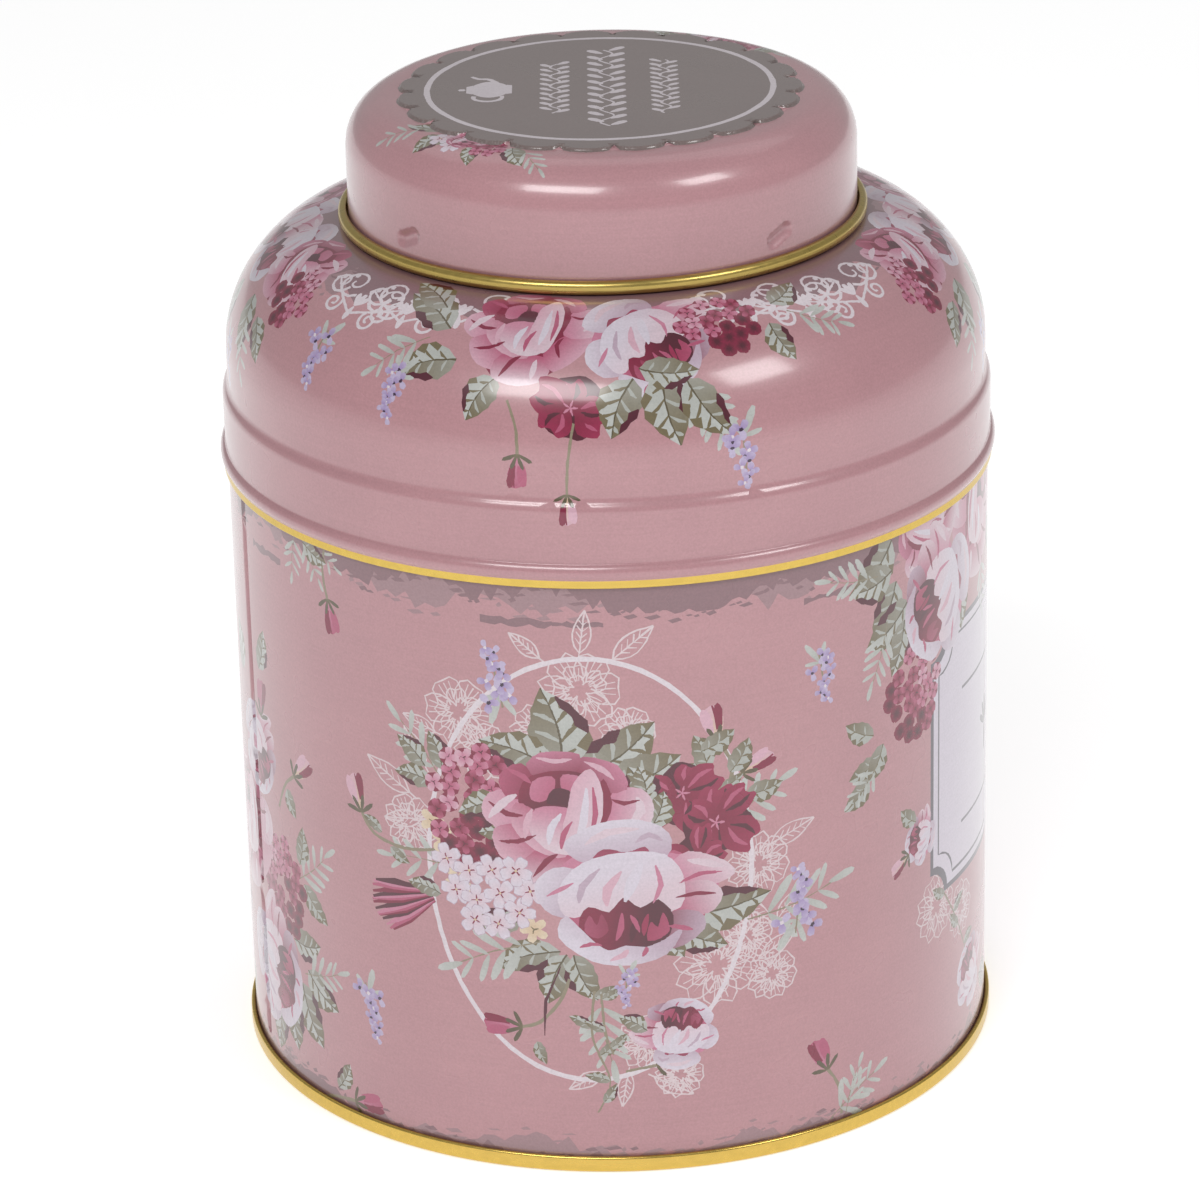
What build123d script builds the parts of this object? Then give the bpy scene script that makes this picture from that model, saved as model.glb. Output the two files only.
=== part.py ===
"""Round tinplate tea caddy: body wall, seamed base end, slip-on shoulder dome and small cap.

Four pressings of 0.25 mm tinplate. The row frame has +Z up, the origin on the surface that the
caddy stands on, at the centre of the base, and -Y towards the front. Sizes are in millimetres.
"""

import math
import os

from build123d import *

# ---- driving dimensions ----
SHEET = 0.25                # tinplate gauge
PLY_GAP = 0.03              # air between folded plies
PLY = SHEET + PLY_GAP       # pitch of folded plies
BODY_RADIUS = 60.0          # outside of the body wall
BODY_TOP = 110.5            # top of the body's curled edge
CURL_BEND = 0.775           # centreline radius of the curled edges

SEAM_AZIMUTH = 200.0        # side seam, in degrees from +X towards +Y
SEAM_WIDTH = 4.0            # width of the locked side seam
SEAM_FOOT, SEAM_HEAD = 4.5, 107.0   # the seam is notched short of the hook and the curl

END_SEAM_HEIGHT = 2.6       # double seam round the base
FOOT_BEND = 0.375           # centreline radius either side of the flat ring it stands on
PANEL_HEIGHT = 3.1          # centreline of the countersunk base panel
PANEL_BEADS = ((18.0, 0.5), (46.0, 0.7))    # (radius, height) of its stiffening beads

SKIRT_RADIUS = 60.35        # outside of the dome's slip-over skirt
HEM_FOOT = 97.5             # lowest point of the dome
HEM_BAND = 1.3              # bare gold band below the bead
HEM_PLY_GAP = 0.06
BEAD_RADIUS = 61.1          # largest radius of the dome
STEP_FOOT, STEP_HEIGHT = 109.3, 2.4
DOME_RADIUS = 59.5          # outside of the dome's wall above the step
SHOULDER_FOOT = 116.4       # the shoulder's arc starts here
SHOULDER_BEND = 19.75       # its centreline radius
CROWN_SLOPE = 3.8           # fall of the crown from the neck outwards, in degrees
NECK_RADIUS = 37.55         # outside of the neck
NECK_TOP = 146.0
NECK_CURL_BEND = 0.475

CAP_RADIUS = 39.55          # outside of the cap's wall
CAP_FOOT = 136.4            # lowest point of the cap's curled rim
CAP_RIM_RISE = 0.35         # straight part that makes the rim taller than it is wide
CAP_TOP = 155.7             # flat of the cap round the badge
CAP_CORNER = 7.2            # centreline radius of its top edge
BADGE_RISE = 0.5            # height of the embossed badge
BADGE_RADIUS = 31.5         # out to the scallop tips
SCALLOPS = 23
SCALLOP_AZIMUTH = -86.4     # one of the valleys between them
SCALLOP_DEPTH = 2.1

DIMPLES = 4                 # slanted grip dimples round the cap
DIMPLE_AZIMUTH = -48.0      # the first one
DIMPLE_HEIGHT = 141.4
DIMPLE_LENGTH = 6.0
DIMPLE_SLANT = 24.0
DIMPLE_DEPTH = 0.65
DIMPLE_ROUND = 1.6          # radius of the punch


class SheetPath:
    """The centreline of a pressed sheet as straight runs and tangent bends, thickened to a face."""

    def __init__(self, start, heading, thickness=SHEET):
        self.point = Vector(*start)
        self.heading = heading
        self.half = thickness / 2
        self.steps = []

    def ahead(self, turn=0.0):
        angle = math.radians(self.heading + turn)
        return Vector(math.cos(angle), math.sin(angle))

    def run(self, length):
        """Goes straight on."""
        start = self.point
        self.point = start + self.ahead() * length
        self.steps.append(("run", start, self.point, self.heading, self.heading, None))
        return self

    def run_to(self, x=None, y=None):
        """Goes straight on until x or y is reached."""
        along = self.ahead()
        if x is not None:
            return self.run((x - self.point.X) / along.X)
        return self.run((y - self.point.Y) / along.Y)

    def bend(self, radius, angle):
        """Turns left by a positive angle, or right by a negative one, at this centreline radius."""
        side = 1 if angle > 0 else -1
        before, start = self.heading, self.point
        centre = start + self.ahead(90 * side) * radius
        self.heading += angle
        self.point = centre - self.ahead(90 * side) * radius
        self.steps.append(("bend", start, self.point, before, self.heading, (centre, radius)))
        return self

    def jog(self, offset, height):
        """Two equal bends that shift the path sideways by offset, positive to the left."""
        angle = math.degrees(2 * math.atan(abs(offset) / height))
        radius = height / (2 * math.sin(math.radians(angle)))
        side = 1 if offset > 0 else -1
        return self.bend(radius, side * angle).bend(radius, -side * angle)

    def bulge(self, peak, after, corner, crest):
        """A bead to the right of the path, peak away from it, that ends after to its left."""
        reach = corner + crest
        entry = math.degrees(math.acos((reach - peak) / reach))
        leave = math.degrees(math.acos((reach - peak - after) / reach))
        self.bend(corner, -entry)
        self.bend(crest, entry + leave)
        return self.bend(corner, -leave)

    def side(self, sign):
        """The edges of one face of the sheet: sign 1 is the left face, -1 the right."""
        edges = []
        for kind, start, end, before, after, turn in self.steps:
            left = [Vector(-math.sin(math.radians(a)), math.cos(math.radians(a))) for a in (before, after)]
            first, last = start + left[0] * sign * self.half, end + left[1] * sign * self.half
            if kind == "run":
                edges.append(Line(first, last))
                continue
            centre, radius = turn
            lean = 1 if after > before else -1
            middle_angle = math.radians((before + after) / 2)
            outward = Vector(math.sin(middle_angle), -math.cos(middle_angle)) * lean
            middle = centre + outward * (radius - sign * lean * self.half)
            edges.append(ThreePointArc(first, middle, last))
        return edges

    def face(self):
        """The sheet's cut section, as a closed face."""
        left, right = self.side(1), self.side(-1)
        ends = [Line(left[0] @ 0, right[0] @ 0), Line(left[-1] @ 1, right[-1] @ 1)]
        return make_face(Wire(left + right + ends))

    def spin(self):
        """The sheet turned about the caddy's axis: x is the radius and y the height."""
        return revolve(Plane.XZ * self.face(), Axis.Z, 360)

    def rise(self, foot, head):
        """The sheet as a wall seen from above, from foot up to head."""
        return extrude(Pos(0, 0, foot) * self.face(), head - foot, dir=(0, 0, 1))


def make_body_wall():
    """Rolled wall with an inside curl at the top, the body hook below and a locked side seam."""
    middle = BODY_RADIUS - SHEET / 2
    hook_centre = SHEET * 1.5 + PLY_GAP + PLY       # the hook wraps one ply and clears the base

    lower = SheetPath((middle + 2 * PLY, 1.95), -90)
    lower.run_to(y=hook_centre)
    lower.bend(PLY, -180)
    lower.run_to(y=SEAM_FOOT)

    upper = SheetPath((middle, SEAM_HEAD), 90)
    upper.run_to(y=BODY_TOP - SHEET / 2 - CURL_BEND)
    upper.bend(CURL_BEND, 300)

    outer, inner = side_seam_paths(middle)
    wall = outer.rise(SEAM_FOOT, SEAM_HEAD) + inner.rise(SEAM_FOOT, SEAM_HEAD)
    return Rot(0, 0, SEAM_AZIMUTH) * wall + lower.spin() + upper.spin()


def side_seam_paths(middle):
    """The rolled wall seen from above, as two paths that start back to back and end interlocked."""
    jog_width = 1.1
    hook = SEAM_WIDTH * 0.6
    fold_at = jog_width + 0.15 + PLY + SHEET / 2    # the outer fold clears the inner path's jog

    def turn(length, radius):
        return math.degrees(length / radius)

    # Round the caddy on the outside, then folded back inwards.
    outer = SheetPath((middle, 0), 90)
    outer.bend(middle, 360 - turn(fold_at, middle))
    outer.bend(PLY, 180)
    outer.bend(middle - 2 * PLY, -turn(hook, middle))

    # Stepped in behind the outer path's end, then folded back outwards into its hook.
    inner = SheetPath((middle, 0), -90)
    inner.jog(-3 * PLY, jog_width)
    inner.bend(2.0, -turn(jog_width, middle))
    inner.bend(middle - 3 * PLY, -turn(SEAM_WIDTH - jog_width, middle))
    inner.bend(PLY, 180)
    inner.bend(middle - PLY, turn(hook, middle))
    return outer, inner


def make_base_end():
    """Pressed base: beaded panel, chuck wall, and the double seam that wraps the body hook."""
    chuck = BODY_RADIUS - SHEET / 2 - PLY
    panel_corner = 0.9

    path = SheetPath((0, PANEL_HEIGHT), 0)
    for radius, height in PANEL_BEADS:
        path.run_to(x=radius)
        path.jog(height, 1.8)
        path.run(1.5)
        path.jog(-height, 1.8)
    path.run_to(x=chuck - panel_corner)
    path.bend(panel_corner, -90)
    path.run_to(y=SHEET / 2 + FOOT_BEND)
    path.bend(FOOT_BEND, 90)
    path.run(4 * PLY - 2 * FOOT_BEND)
    path.bend(FOOT_BEND, 90)
    path.run_to(y=END_SEAM_HEIGHT - SHEET / 2 - PLY)
    path.bend(PLY, 180)
    path.run(1.3)
    return path.spin()


def make_shoulder_dome():
    """Drawn dome: folded hem, bead, slip-over skirt, step, shoulder, crown and curled neck."""
    hem_bend = (SHEET + HEM_PLY_GAP) / 2
    skirt = SKIRT_RADIUS - SHEET / 2
    band = skirt + 2 * hem_bend
    neck_corner = 0.8

    path = SheetPath((skirt, HEM_FOOT + 2.4), -90)
    path.run_to(y=HEM_FOOT + SHEET / 2 + hem_bend)
    path.bend(hem_bend, 180)
    path.run_to(y=HEM_FOOT + HEM_BAND)
    path.bulge(peak=BEAD_RADIUS - SHEET / 2 - band, after=2 * hem_bend, corner=0.5, crest=1.4)
    path.run_to(y=STEP_FOOT)
    path.jog(SKIRT_RADIUS - DOME_RADIUS, STEP_HEIGHT)
    path.run_to(y=SHOULDER_FOOT)
    path.bend(SHOULDER_BEND, 90 - CROWN_SLOPE)
    path.run_to(x=NECK_RADIUS - SHEET / 2 + neck_corner)
    path.bend(neck_corner, CROWN_SLOPE - 90)
    path.run_to(y=NECK_TOP - SHEET / 2 - NECK_CURL_BEND)
    path.bend(NECK_CURL_BEND, -290)
    return path.spin()


def scalloped_outline(inset=0.0):
    """The badge's outline: round scallops on a circle, drawn in by inset."""
    tip = BADGE_RADIUS - inset
    valley = BADGE_RADIUS - SCALLOP_DEPTH - inset
    step = 2 * math.pi / SCALLOPS
    edges = []
    first = math.radians(SCALLOP_AZIMUTH)
    for i in range(SCALLOPS):
        angles = [first + (i + part) * step for part in (0, 0.5, 1)]
        radii = (valley, tip, valley)
        points = [(r * math.cos(a), r * math.sin(a)) for r, a in zip(radii, angles)]
        edges.append(ThreePointArc(*points))
    return make_face(Wire(edges))


def make_cap_lid():
    """Drawn cap: embossed scalloped badge, rounded edge, slanted grip dimples and curled rim."""
    middle = CAP_RADIUS - SHEET / 2
    path = SheetPath((0, CAP_TOP - SHEET / 2), 0)
    path.run_to(x=middle - CAP_CORNER)
    path.bend(CAP_CORNER, -90)
    path.run_to(y=CAP_FOOT + SHEET / 2 + CURL_BEND)
    path.bend(CURL_BEND, 180)
    path.run(CAP_RIM_RISE)
    path.bend(CURL_BEND, 110)
    cap = path.spin()

    # The badge is the same sheet pressed up, so its underside is hollow.
    under = CAP_TOP - SHEET
    cap += Pos(0, 0, under) * extrude(scalloped_outline(), BADGE_RISE + SHEET, dir=(0, 0, 1))
    cap -= Pos(0, 0, under) * extrude(scalloped_outline(SHEET), BADGE_RISE, dir=(0, 0, 1))

    for i in range(DIMPLES):
        turn = Rot(0, 0, DIMPLE_AZIMUTH + i * 360 / DIMPLES)
        inner_skin = Pos(0, 0, DIMPLE_HEIGHT - 6) * Cylinder(
            middle, 12, align=(Align.CENTER, Align.CENTER, Align.MIN)
        )
        cap += (turn * dimple_punch(DIMPLE_ROUND + SHEET)) & inner_skin
        cap -= turn * dimple_punch(DIMPLE_ROUND)
    return cap


def dimple_punch(radius):
    """A slanted round-ended bar that stands outside the cap's wall and dips into it."""
    axis_radius = CAP_RADIUS + DIMPLE_ROUND - DIMPLE_DEPTH
    bar = Cylinder(radius, DIMPLE_LENGTH - 2 * DIMPLE_ROUND)
    for end in (-1, 1):
        bar += Pos(0, 0, end * (DIMPLE_LENGTH / 2 - DIMPLE_ROUND)) * Sphere(radius)
    lying = Rot(DIMPLE_SLANT - 90, 0, 0) * bar      # along +Y, rising anticlockwise
    return Pos(axis_radius, 0, DIMPLE_HEIGHT) * lying


def main():
    os.makedirs("parts", exist_ok=True)
    parts = {
        "body_wall": make_body_wall(),
        "base_end": make_base_end(),
        "shoulder_dome": make_shoulder_dome(),
        "cap_lid": make_cap_lid(),
    }
    for name, shape in parts.items():
        export_step(shape, f"parts/{name}.step")
        print(name, round(shape.volume, 1), "mm3", "valid" if shape.is_valid else "NOT VALID")


main()
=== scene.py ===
import math
import random

import bpy
import numpy as np
from mathutils import Matrix, Vector
from mathutils.bvhtree import BVHTree
from mathutils.geometry import delaunay_2d_cdt
from mathutils.kdtree import KDTree


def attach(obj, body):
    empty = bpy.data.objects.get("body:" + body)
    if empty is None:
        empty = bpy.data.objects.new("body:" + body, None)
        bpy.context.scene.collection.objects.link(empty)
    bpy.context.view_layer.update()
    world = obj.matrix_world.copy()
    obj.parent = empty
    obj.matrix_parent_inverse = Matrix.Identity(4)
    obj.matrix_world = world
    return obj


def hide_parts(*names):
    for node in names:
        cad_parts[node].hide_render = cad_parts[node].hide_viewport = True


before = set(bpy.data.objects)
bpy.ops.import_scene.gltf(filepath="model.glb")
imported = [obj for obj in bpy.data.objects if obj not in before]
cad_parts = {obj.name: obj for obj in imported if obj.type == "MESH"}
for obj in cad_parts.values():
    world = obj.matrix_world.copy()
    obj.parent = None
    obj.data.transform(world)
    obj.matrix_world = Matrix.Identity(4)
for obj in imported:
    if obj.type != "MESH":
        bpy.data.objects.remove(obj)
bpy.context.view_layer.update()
mm = 0.001
print("frame loaded")

gauge = 0.25   # the tinplate, in millimetres, as every size below
ply = 0.28     # pitch of folded plies


def addToScene(name, data):
    made = bpy.data.objects.new(name, data)
    bpy.context.scene.collection.objects.link(made)
    return made


def addNode(tree, kind, settings=None, links=None, values=None):
    node = tree.nodes.new(kind)
    for name, value in (settings or {}).items():
        setattr(node, name, value)
    for name, value in (values or {}).items():
        node.inputs[name].default_value = value
    for name, socket in (links or {}).items():
        tree.links.new(socket, node.inputs[name])
    return node


class PressedSheet:
    # middle line of a sheet in the r, z plane as runs and bends; skin() walks round both its faces
    def __init__(self, r, z, heading, closed=True):
        self.at, self.heading, self.closed = np.array([r, z], float), heading, closed
        self.steps, self.marks = [], {}

    def ahead(self, turn=0.0, at=None):
        a = math.radians((self.heading if at is None else at) + turn)
        return np.array([math.cos(a), math.sin(a)])

    def offset(self, heading):
        # from the middle line to the right-hand face
        a = math.radians(heading)
        return np.array([math.sin(a), -math.cos(a)]) * gauge / 2

    def mark(self, name):
        self.marks[name] = len(self.steps)
        return self

    def run(self, length):
        self.steps.append(("run", self.at.copy(), self.heading, length))
        self.at = self.at + self.ahead() * length
        return self

    def runTo(self, r=None, z=None):
        d = self.ahead()
        return self.run((r - self.at[0]) / d[0] if r is not None else (z - self.at[1]) / d[1])

    def bend(self, radius, degrees):
        side = 1 if degrees > 0 else -1
        centre = self.at + self.ahead(90 * side) * radius
        self.steps.append(("bend", centre, self.heading, radius, degrees))
        self.heading += degrees
        self.at = centre - self.ahead(90 * side) * radius
        return self

    def jog(self, offset, height):
        degrees = math.degrees(2 * math.atan(abs(offset) / height))
        radius = height / (2 * math.sin(math.radians(degrees)))
        side = 1 if offset > 0 else -1
        return self.bend(radius, side * degrees).bend(radius, -side * degrees)

    def bulge(self, peak, after, corner, crest):
        reach = corner + crest
        entry = math.degrees(math.acos((reach - peak) / reach))
        leave = math.degrees(math.acos((reach - peak - after) / reach))
        return self.bend(corner, -entry).bend(crest, entry + leave).bend(corner, -leave)

    def skin(self):
        # both faces as stretches: (kind, point or centre, angle, size, sweep, sign of the normal)
        right, left = [], []
        for step in self.steps:
            kind, at, heading, size = step[:4]
            if kind == "run":
                side, end = self.offset(heading), at + self.ahead(at=heading) * size
                right.append((kind, at + side, heading, size, 0, 1))
                left.append((kind, end - side, heading + 180, size, 0, 1))
            else:
                lean = 1 if step[4] > 0 else -1
                start, half = heading - 90 * lean, lean * gauge / 2
                right.append((kind, at, start, size + half, step[4], lean))
                left.append((kind, at, start + step[4], size - half, -step[4], -lean))
        tip = ("run", self.at + self.offset(self.heading), self.heading + 90, gauge, 0, 1)
        self.stretches = right + [tip] + left[::-1]
        if self.closed:
            start = self.steps[0]
            self.stretches.append(("run", start[1] - self.offset(start[2]), start[2] - 90, gauge, 0, 1))
        sizes = [s[3] if s[0] == "run" else s[3] * math.radians(abs(s[4])) for s in self.stretches]
        self.ends = np.concatenate([[0], np.cumsum(sizes)])
        self.total = self.ends[-1]
        count = len(right)
        self.outer = {k: self.ends[i] for k, i in self.marks.items()}                    # along the right face
        self.inner = {k: self.ends[2 * count + 1 - i] for k, i in self.marks.items()}    # along the left face
        return self

    def along(self, v):
        # r, z and the outward normal at distances v round the skin
        v = np.asarray(v, float)
        out = np.zeros((len(v), 4))
        which = np.clip(np.searchsorted(self.ends, v, side="right") - 1, 0, len(self.stretches) - 1)
        for i, (kind, p, angle, size, sweep, sign) in enumerate(self.stretches):
            here = which == i
            d = v[here] - self.ends[i]
            if kind == "run":
                a = math.radians(angle)
                out[here] = np.stack([p[0] + math.cos(a) * d, p[1] + math.sin(a) * d,
                                      np.full(len(d), math.sin(a)), np.full(len(d), -math.cos(a))], 1)
            else:
                a = np.radians(angle) + np.sign(sweep) * d / size
                out[here] = np.stack([p[0] + size * np.cos(a), p[1] + size * np.sin(a),
                                      sign * np.cos(a), sign * np.sin(a)], 1)
        return out

    def rows(self, step, low=0.0, high=None, degrees=18, extra=()):
        # where the mesh has a ring of points
        high = self.total if high is None else high
        found = [low, high] + [e for e in extra if low < e < high]
        for i, s in enumerate(self.stretches):
            size = self.ends[i + 1] - self.ends[i]
            count = max(1, math.ceil(size / step), math.ceil(abs(s[4]) / degrees))
            found += [self.ends[i] + size * k / count for k in range(count + 1)]
        found = sorted(f for f in found if low - 1e-9 <= f <= high + 1e-9)
        return [f for i, f in enumerate(found) if i == 0 or f - found[i - 1] > 1e-4]


bodySizes = {"radius": 60.0, "top": 110.5, "curl": 0.775, "hookTop": 1.95, "seamAzimuth": 200.0}
domeSizes = {"skirt": 60.35, "foot": 97.5, "band": 1.3, "bead": 61.1, "stepFoot": 109.3, "stepHeight": 2.4,
             "wall": 59.5, "shoulderFoot": 116.4, "shoulderBend": 19.75, "crownSlope": 3.8, "neck": 37.55,
             "neckTop": 146.0, "neckCurl": 0.475, "hemGap": 0.06}
capSizes = {"wall": 39.55, "foot": 136.4, "top": 155.7, "corner": 7.2, "curl": 0.775, "rimRise": 0.35,
            "badge": 31.5, "scallops": 23, "scallopDepth": 2.1, "scallopAzimuth": -86.4, "rise": 0.5,
            "dimples": 4, "dimpleAzimuth": -48.0, "dimpleHeight": 141.4, "dimpleLength": 6.0,
            "dimpleSlant": 24.0, "dimpleDepth": 0.65, "dimpleRound": 1.6}
baseSizes = {"panel": 3.1, "beads": ((18.0, 0.5), (46.0, 0.7)), "seamHeight": 2.6, "footBend": 0.375,
             "sweepRadius": 40.0, "segments": 180}


def bodySheet(s=bodySizes):
    middle = s["radius"] - gauge / 2
    sheet = PressedSheet(middle + 2 * ply, s["hookTop"], -90)
    sheet.runTo(z=gauge * 1.5 + 0.03 + ply)
    sheet.bend(ply, -180).mark("foot")
    sheet.runTo(z=s["top"] - gauge / 2 - s["curl"]).mark("curl")
    return sheet.bend(s["curl"], 300).skin()


def domeSheet(s=domeSizes):
    hem = (gauge + s["hemGap"]) / 2
    skirt = s["skirt"] - gauge / 2
    band = skirt + 2 * hem
    sheet = PressedSheet(skirt, s["foot"] + 2.4, -90)
    sheet.runTo(z=s["foot"] + gauge / 2 + hem).bend(hem, 180)
    sheet.runTo(z=s["foot"] + s["band"]).mark("band")
    sheet.bulge(s["bead"] - gauge / 2 - band, 2 * hem, 0.5, 1.4)
    sheet.runTo(z=s["stepFoot"]).mark("step")
    sheet.jog(s["skirt"] - s["wall"], s["stepHeight"])
    sheet.runTo(z=s["shoulderFoot"]).mark("shoulder")
    sheet.bend(s["shoulderBend"], 90 - s["crownSlope"]).mark("crown")
    sheet.runTo(r=s["neck"] - gauge / 2 + 0.8).mark("neck")
    sheet.bend(0.8, s["crownSlope"] - 90)
    sheet.runTo(z=s["neckTop"] - gauge / 2 - s["neckCurl"])
    return sheet.bend(s["neckCurl"], -290).skin()


def capSheet(s=capSizes):
    middle = s["wall"] - gauge / 2
    sheet = PressedSheet(0, s["top"] - gauge / 2, 0, closed=False)
    sheet.runTo(r=middle - s["corner"]).bend(s["corner"], -90)
    sheet.runTo(z=s["foot"] + gauge / 2 + s["curl"]).mark("rim")
    return sheet.bend(s["curl"], 180).run(s["rimRise"]).bend(s["curl"], 110).skin()


def baseSheet(s=baseSizes):
    chuck = bodySizes["radius"] - gauge / 2 - ply
    sheet = PressedSheet(0, s["panel"], 0, closed=False)
    for radius, height in s["beads"]:
        sheet.runTo(r=radius).jog(height, 1.8).run(1.5).jog(-height, 1.8)
    sheet.runTo(r=chuck - 0.9).bend(0.9, -90)
    sheet.runTo(z=gauge / 2 + s["footBend"]).bend(s["footBend"], 90)
    sheet.run(4 * ply - 2 * s["footBend"]).bend(s["footBend"], 90)
    sheet.runTo(z=s["seamHeight"] - gauge / 2 - ply).bend(ply, 180)
    return sheet.run(1.3).skin()


def linear(colour):
    parts = [int(colour[i:i + 2], 16) / 255 for i in (1, 3, 5)]
    return tuple(c / 12.92 if c <= 0.04045 else ((c + 0.055) / 1.055) ** 2.4 for c in parts)


inks = {"ground": "#D19CA2", "groundDeep": "#C28F96", "mauve": "#97737A", "mauvePale": "#AF8B91",
        "badge": "#887673", "white": "#EFE3EA", "line": "#EBD8DC", "crimson": "#8E1840", "crimsonLight": "#A62A54",
        "wine": "#5A1029", "rosePink": "#C25C7E", "pink": "#D687A3", "palePink": "#E6B7C8", "blush": "#EBD3DE",
        "lilacWhite": "#E9DFEC", "shade": "#CDB4C6", "cream": "#E6C9A8", "creamPale": "#F0DCC0",
        "olive": "#7E7153", "oliveDeep": "#645940", "greyLeaf": "#BDBFB8", "leafLight": "#D0D2CE",
        "lavender": "#A98FC6", "lavenderPale": "#CFC0DF", "plum": "#3E2440", "stem": "#9C9078",
        "plaque": "#E6DCEA", "outline": "#6E6670"}
ink = {name: linear(value) for name, value in inks.items()}


def flat(x, y):
    return x, y


def spot(place, x, y, turn=0, size=1, flip=1):
    # the same drawing moved, turned, scaled or mirrored
    c, s = math.cos(math.radians(turn)) * size, math.sin(math.radians(turn)) * size
    return lambda px, py: place(x + c * px * flip - s * py, y + s * px * flip + c * py)


def fill(art, place, points, colour, tipColour=None, root=(0, 0), tip=(0, 1)):
    corners, flat = [place(*p) for p in points], []
    for a, b in zip(corners, corners[1:] + corners[:1]):   # no side so long that it would cut across the curve
        parts = max(1, math.ceil(math.dist(a, b) / 2.6))
        flat += [(a[0] + (b[0] - a[0]) * k / parts, a[1] + (b[1] - a[1]) * k / parts) for k in range(parts)]
    area = sum(a[0] * b[1] - b[0] * a[1] for a, b in zip(flat, flat[1:] + flat[:1]))
    if abs(area) < 1e-4:
        return
    art.append((flat if area > 0 else flat[::-1], ink[colour], ink[tipColour or colour], place(*root), place(*tip)))


def bothSides(points, halves):
    # the two sides of a line, with half its width at each point
    points, last = [Vector(p) for p in points], len(points) - 1
    sides = []
    for i, (p, half) in enumerate(zip(points, halves)):
        along = (points[min(i + 1, last)] - points[max(i - 1, 0)]).normalized()
        across = Vector((-along.y, along.x)) * half
        sides.append((tuple(p + across), tuple(p - across)))
    return sides


def ribbon(art, place, points, width, colour, taper=0.0):
    # a line of even or tapering width, as one short quad after another
    last = len(points) - 1
    sides = bothSides(points, [width / 2 * (1 - taper * i / last) for i in range(last + 1)])
    for (a, b), (c, d) in zip(sides, sides[1:]):
        fill(art, place, [b, d, c, a], colour)


def stroke(art, place, points, width, colour):
    # a brush mark: a line that swells in the middle
    last = len(points) - 1
    sides = bothSides(points, [width / 2 * math.sin(math.pi * (i + 0.3) / (last + 0.6)) for i in range(last + 1)])
    fill(art, place, [b for a, b in sides] + [a for a, b in reversed(sides)], colour)


def turns(count, closed=False):
    return np.linspace(0, 2 * math.pi, count, endpoint=closed)


def ellipse(angles, wide, tall=None, x=0, y=0):
    tall = wide if tall is None else tall
    return [(x + wide * math.cos(a), y + tall * math.sin(a)) for a in angles]


def arc(x, y, radius, start, end, count=10, squash=1.0):
    angles = [math.radians(start + (end - start) * i / count) for i in range(count + 1)]
    return ellipse(angles, radius, radius * squash, x, y)


def between(a, b, c, d, t):
    # a smooth line's point from b to c, with its neighbours a and d
    return tuple(0.5 * (2 * q + (r - p) * t + (2 * p - 5 * q + 4 * r - s) * t * t
                        + (3 * q - p - 3 * r + s) * t ** 3) for p, q, r, s in zip(a, b, c, d))


def curve(points, count=6):
    ends = [points[0]] + list(points) + [points[-1]]
    path = [between(*four, i / count) for four in zip(ends, ends[1:], ends[2:], ends[3:]) for i in range(count)]
    return path + [tuple(points[-1])]


def loop(points, count=3):
    # closed smooth outline through the points
    n = len(points)
    return [between(*(points[(i + k - 1) % n] for k in range(4)), j / count) for i in range(n) for j in range(count)]


def petal(length, width, count=16, notch=0.0, wave=0.0, seed=0):
    points = []
    for i in range(count):
        a = 2 * math.pi * i / count
        y = 0.5 - 0.5 * math.cos(a)
        x = math.sin(a) * (0.55 + 0.5 * y)
        lip = max(0, y - 0.5) * 2
        y -= notch * lip * math.exp(-(x / 0.3) ** 2)
        ripple = 1 + wave * lip * math.sin(5 * a + seed)
        points.append((x * width / 2 * ripple, y * length * ripple))
    return points


# petals of a full pink rose, its heart near the top: two shades, then x, y, x, y ... in radii of the flower
pinkPetals = (
    ("crimson", "crimson", -.95, .1, -.62, .62, 0, .92, .6, .7, 1, .15, .72, -.5, .1, -.98, -.6, -.85),
    ("pink", "palePink", -.55, .5, -.98, .42, -1.08, .1, -.85, -.12, -.5, 0),
    ("rosePink", "palePink", -.6, -.05, -.95, -.12, -.92, -.5, -.6, -.72, -.3, -.4),
    ("rosePink", "blush", -.45, -.45, -.62, -.85, -.2, -1.04, .25, -.95, .2, -.55),
    ("rosePink", "palePink", .2, -.5, .35, -.85, .75, -.62, .98, -.25, .6, -.12),
    ("pink", "blush", .5, -.15, .95, -.25, 1.12, .1, .98, .42, .62, .4),
    ("crimson", "pink", .35, .45, .8, .42, .72, .8, .3, .98, .1, .75),
    ("crimson", "pink", .15, .7, .25, 1.02, -.25, 1.06, -.45, .8, -.15, .65),
    ("crimson", "rosePink", -.35, .6, -.5, .9, -.8, .72, -.75, .4, -.45, .35),
    ("wine", "crimson", -.55, .2, -.5, .62, -.1, .78, .3, .7, .42, .35, 0, .15),
    ("rosePink", "pink", -.42, .35, -.38, .62, -.12, .7, -.1, .5, -.25, .32),
    ("rosePink", "pink", -.02, .5, .02, .72, .28, .64, .3, .42, .12, .38),
    ("wine", "wine", -.22, .28, -.12, .5, .08, .47, .1, .28),
    ("rosePink", "palePink", -.62, .3, -.7, -.05, -.45, -.42, -.05, -.55, 0, -.1, -.3, .12),
    ("pink", "blush", -.38, .2, -.48, -.15, -.2, -.48, .2, -.45, .25, 0, 0, .22),
    ("crimson", "crimson", .2, -.3, .45, -.15, .6, .25, .52, .62, .38, .3),
    ("palePink", "blush", .05, .25, -.05, -.2, .2, -.48, .42, -.1, .5, .4, .38, .78, .15, .6))
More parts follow.
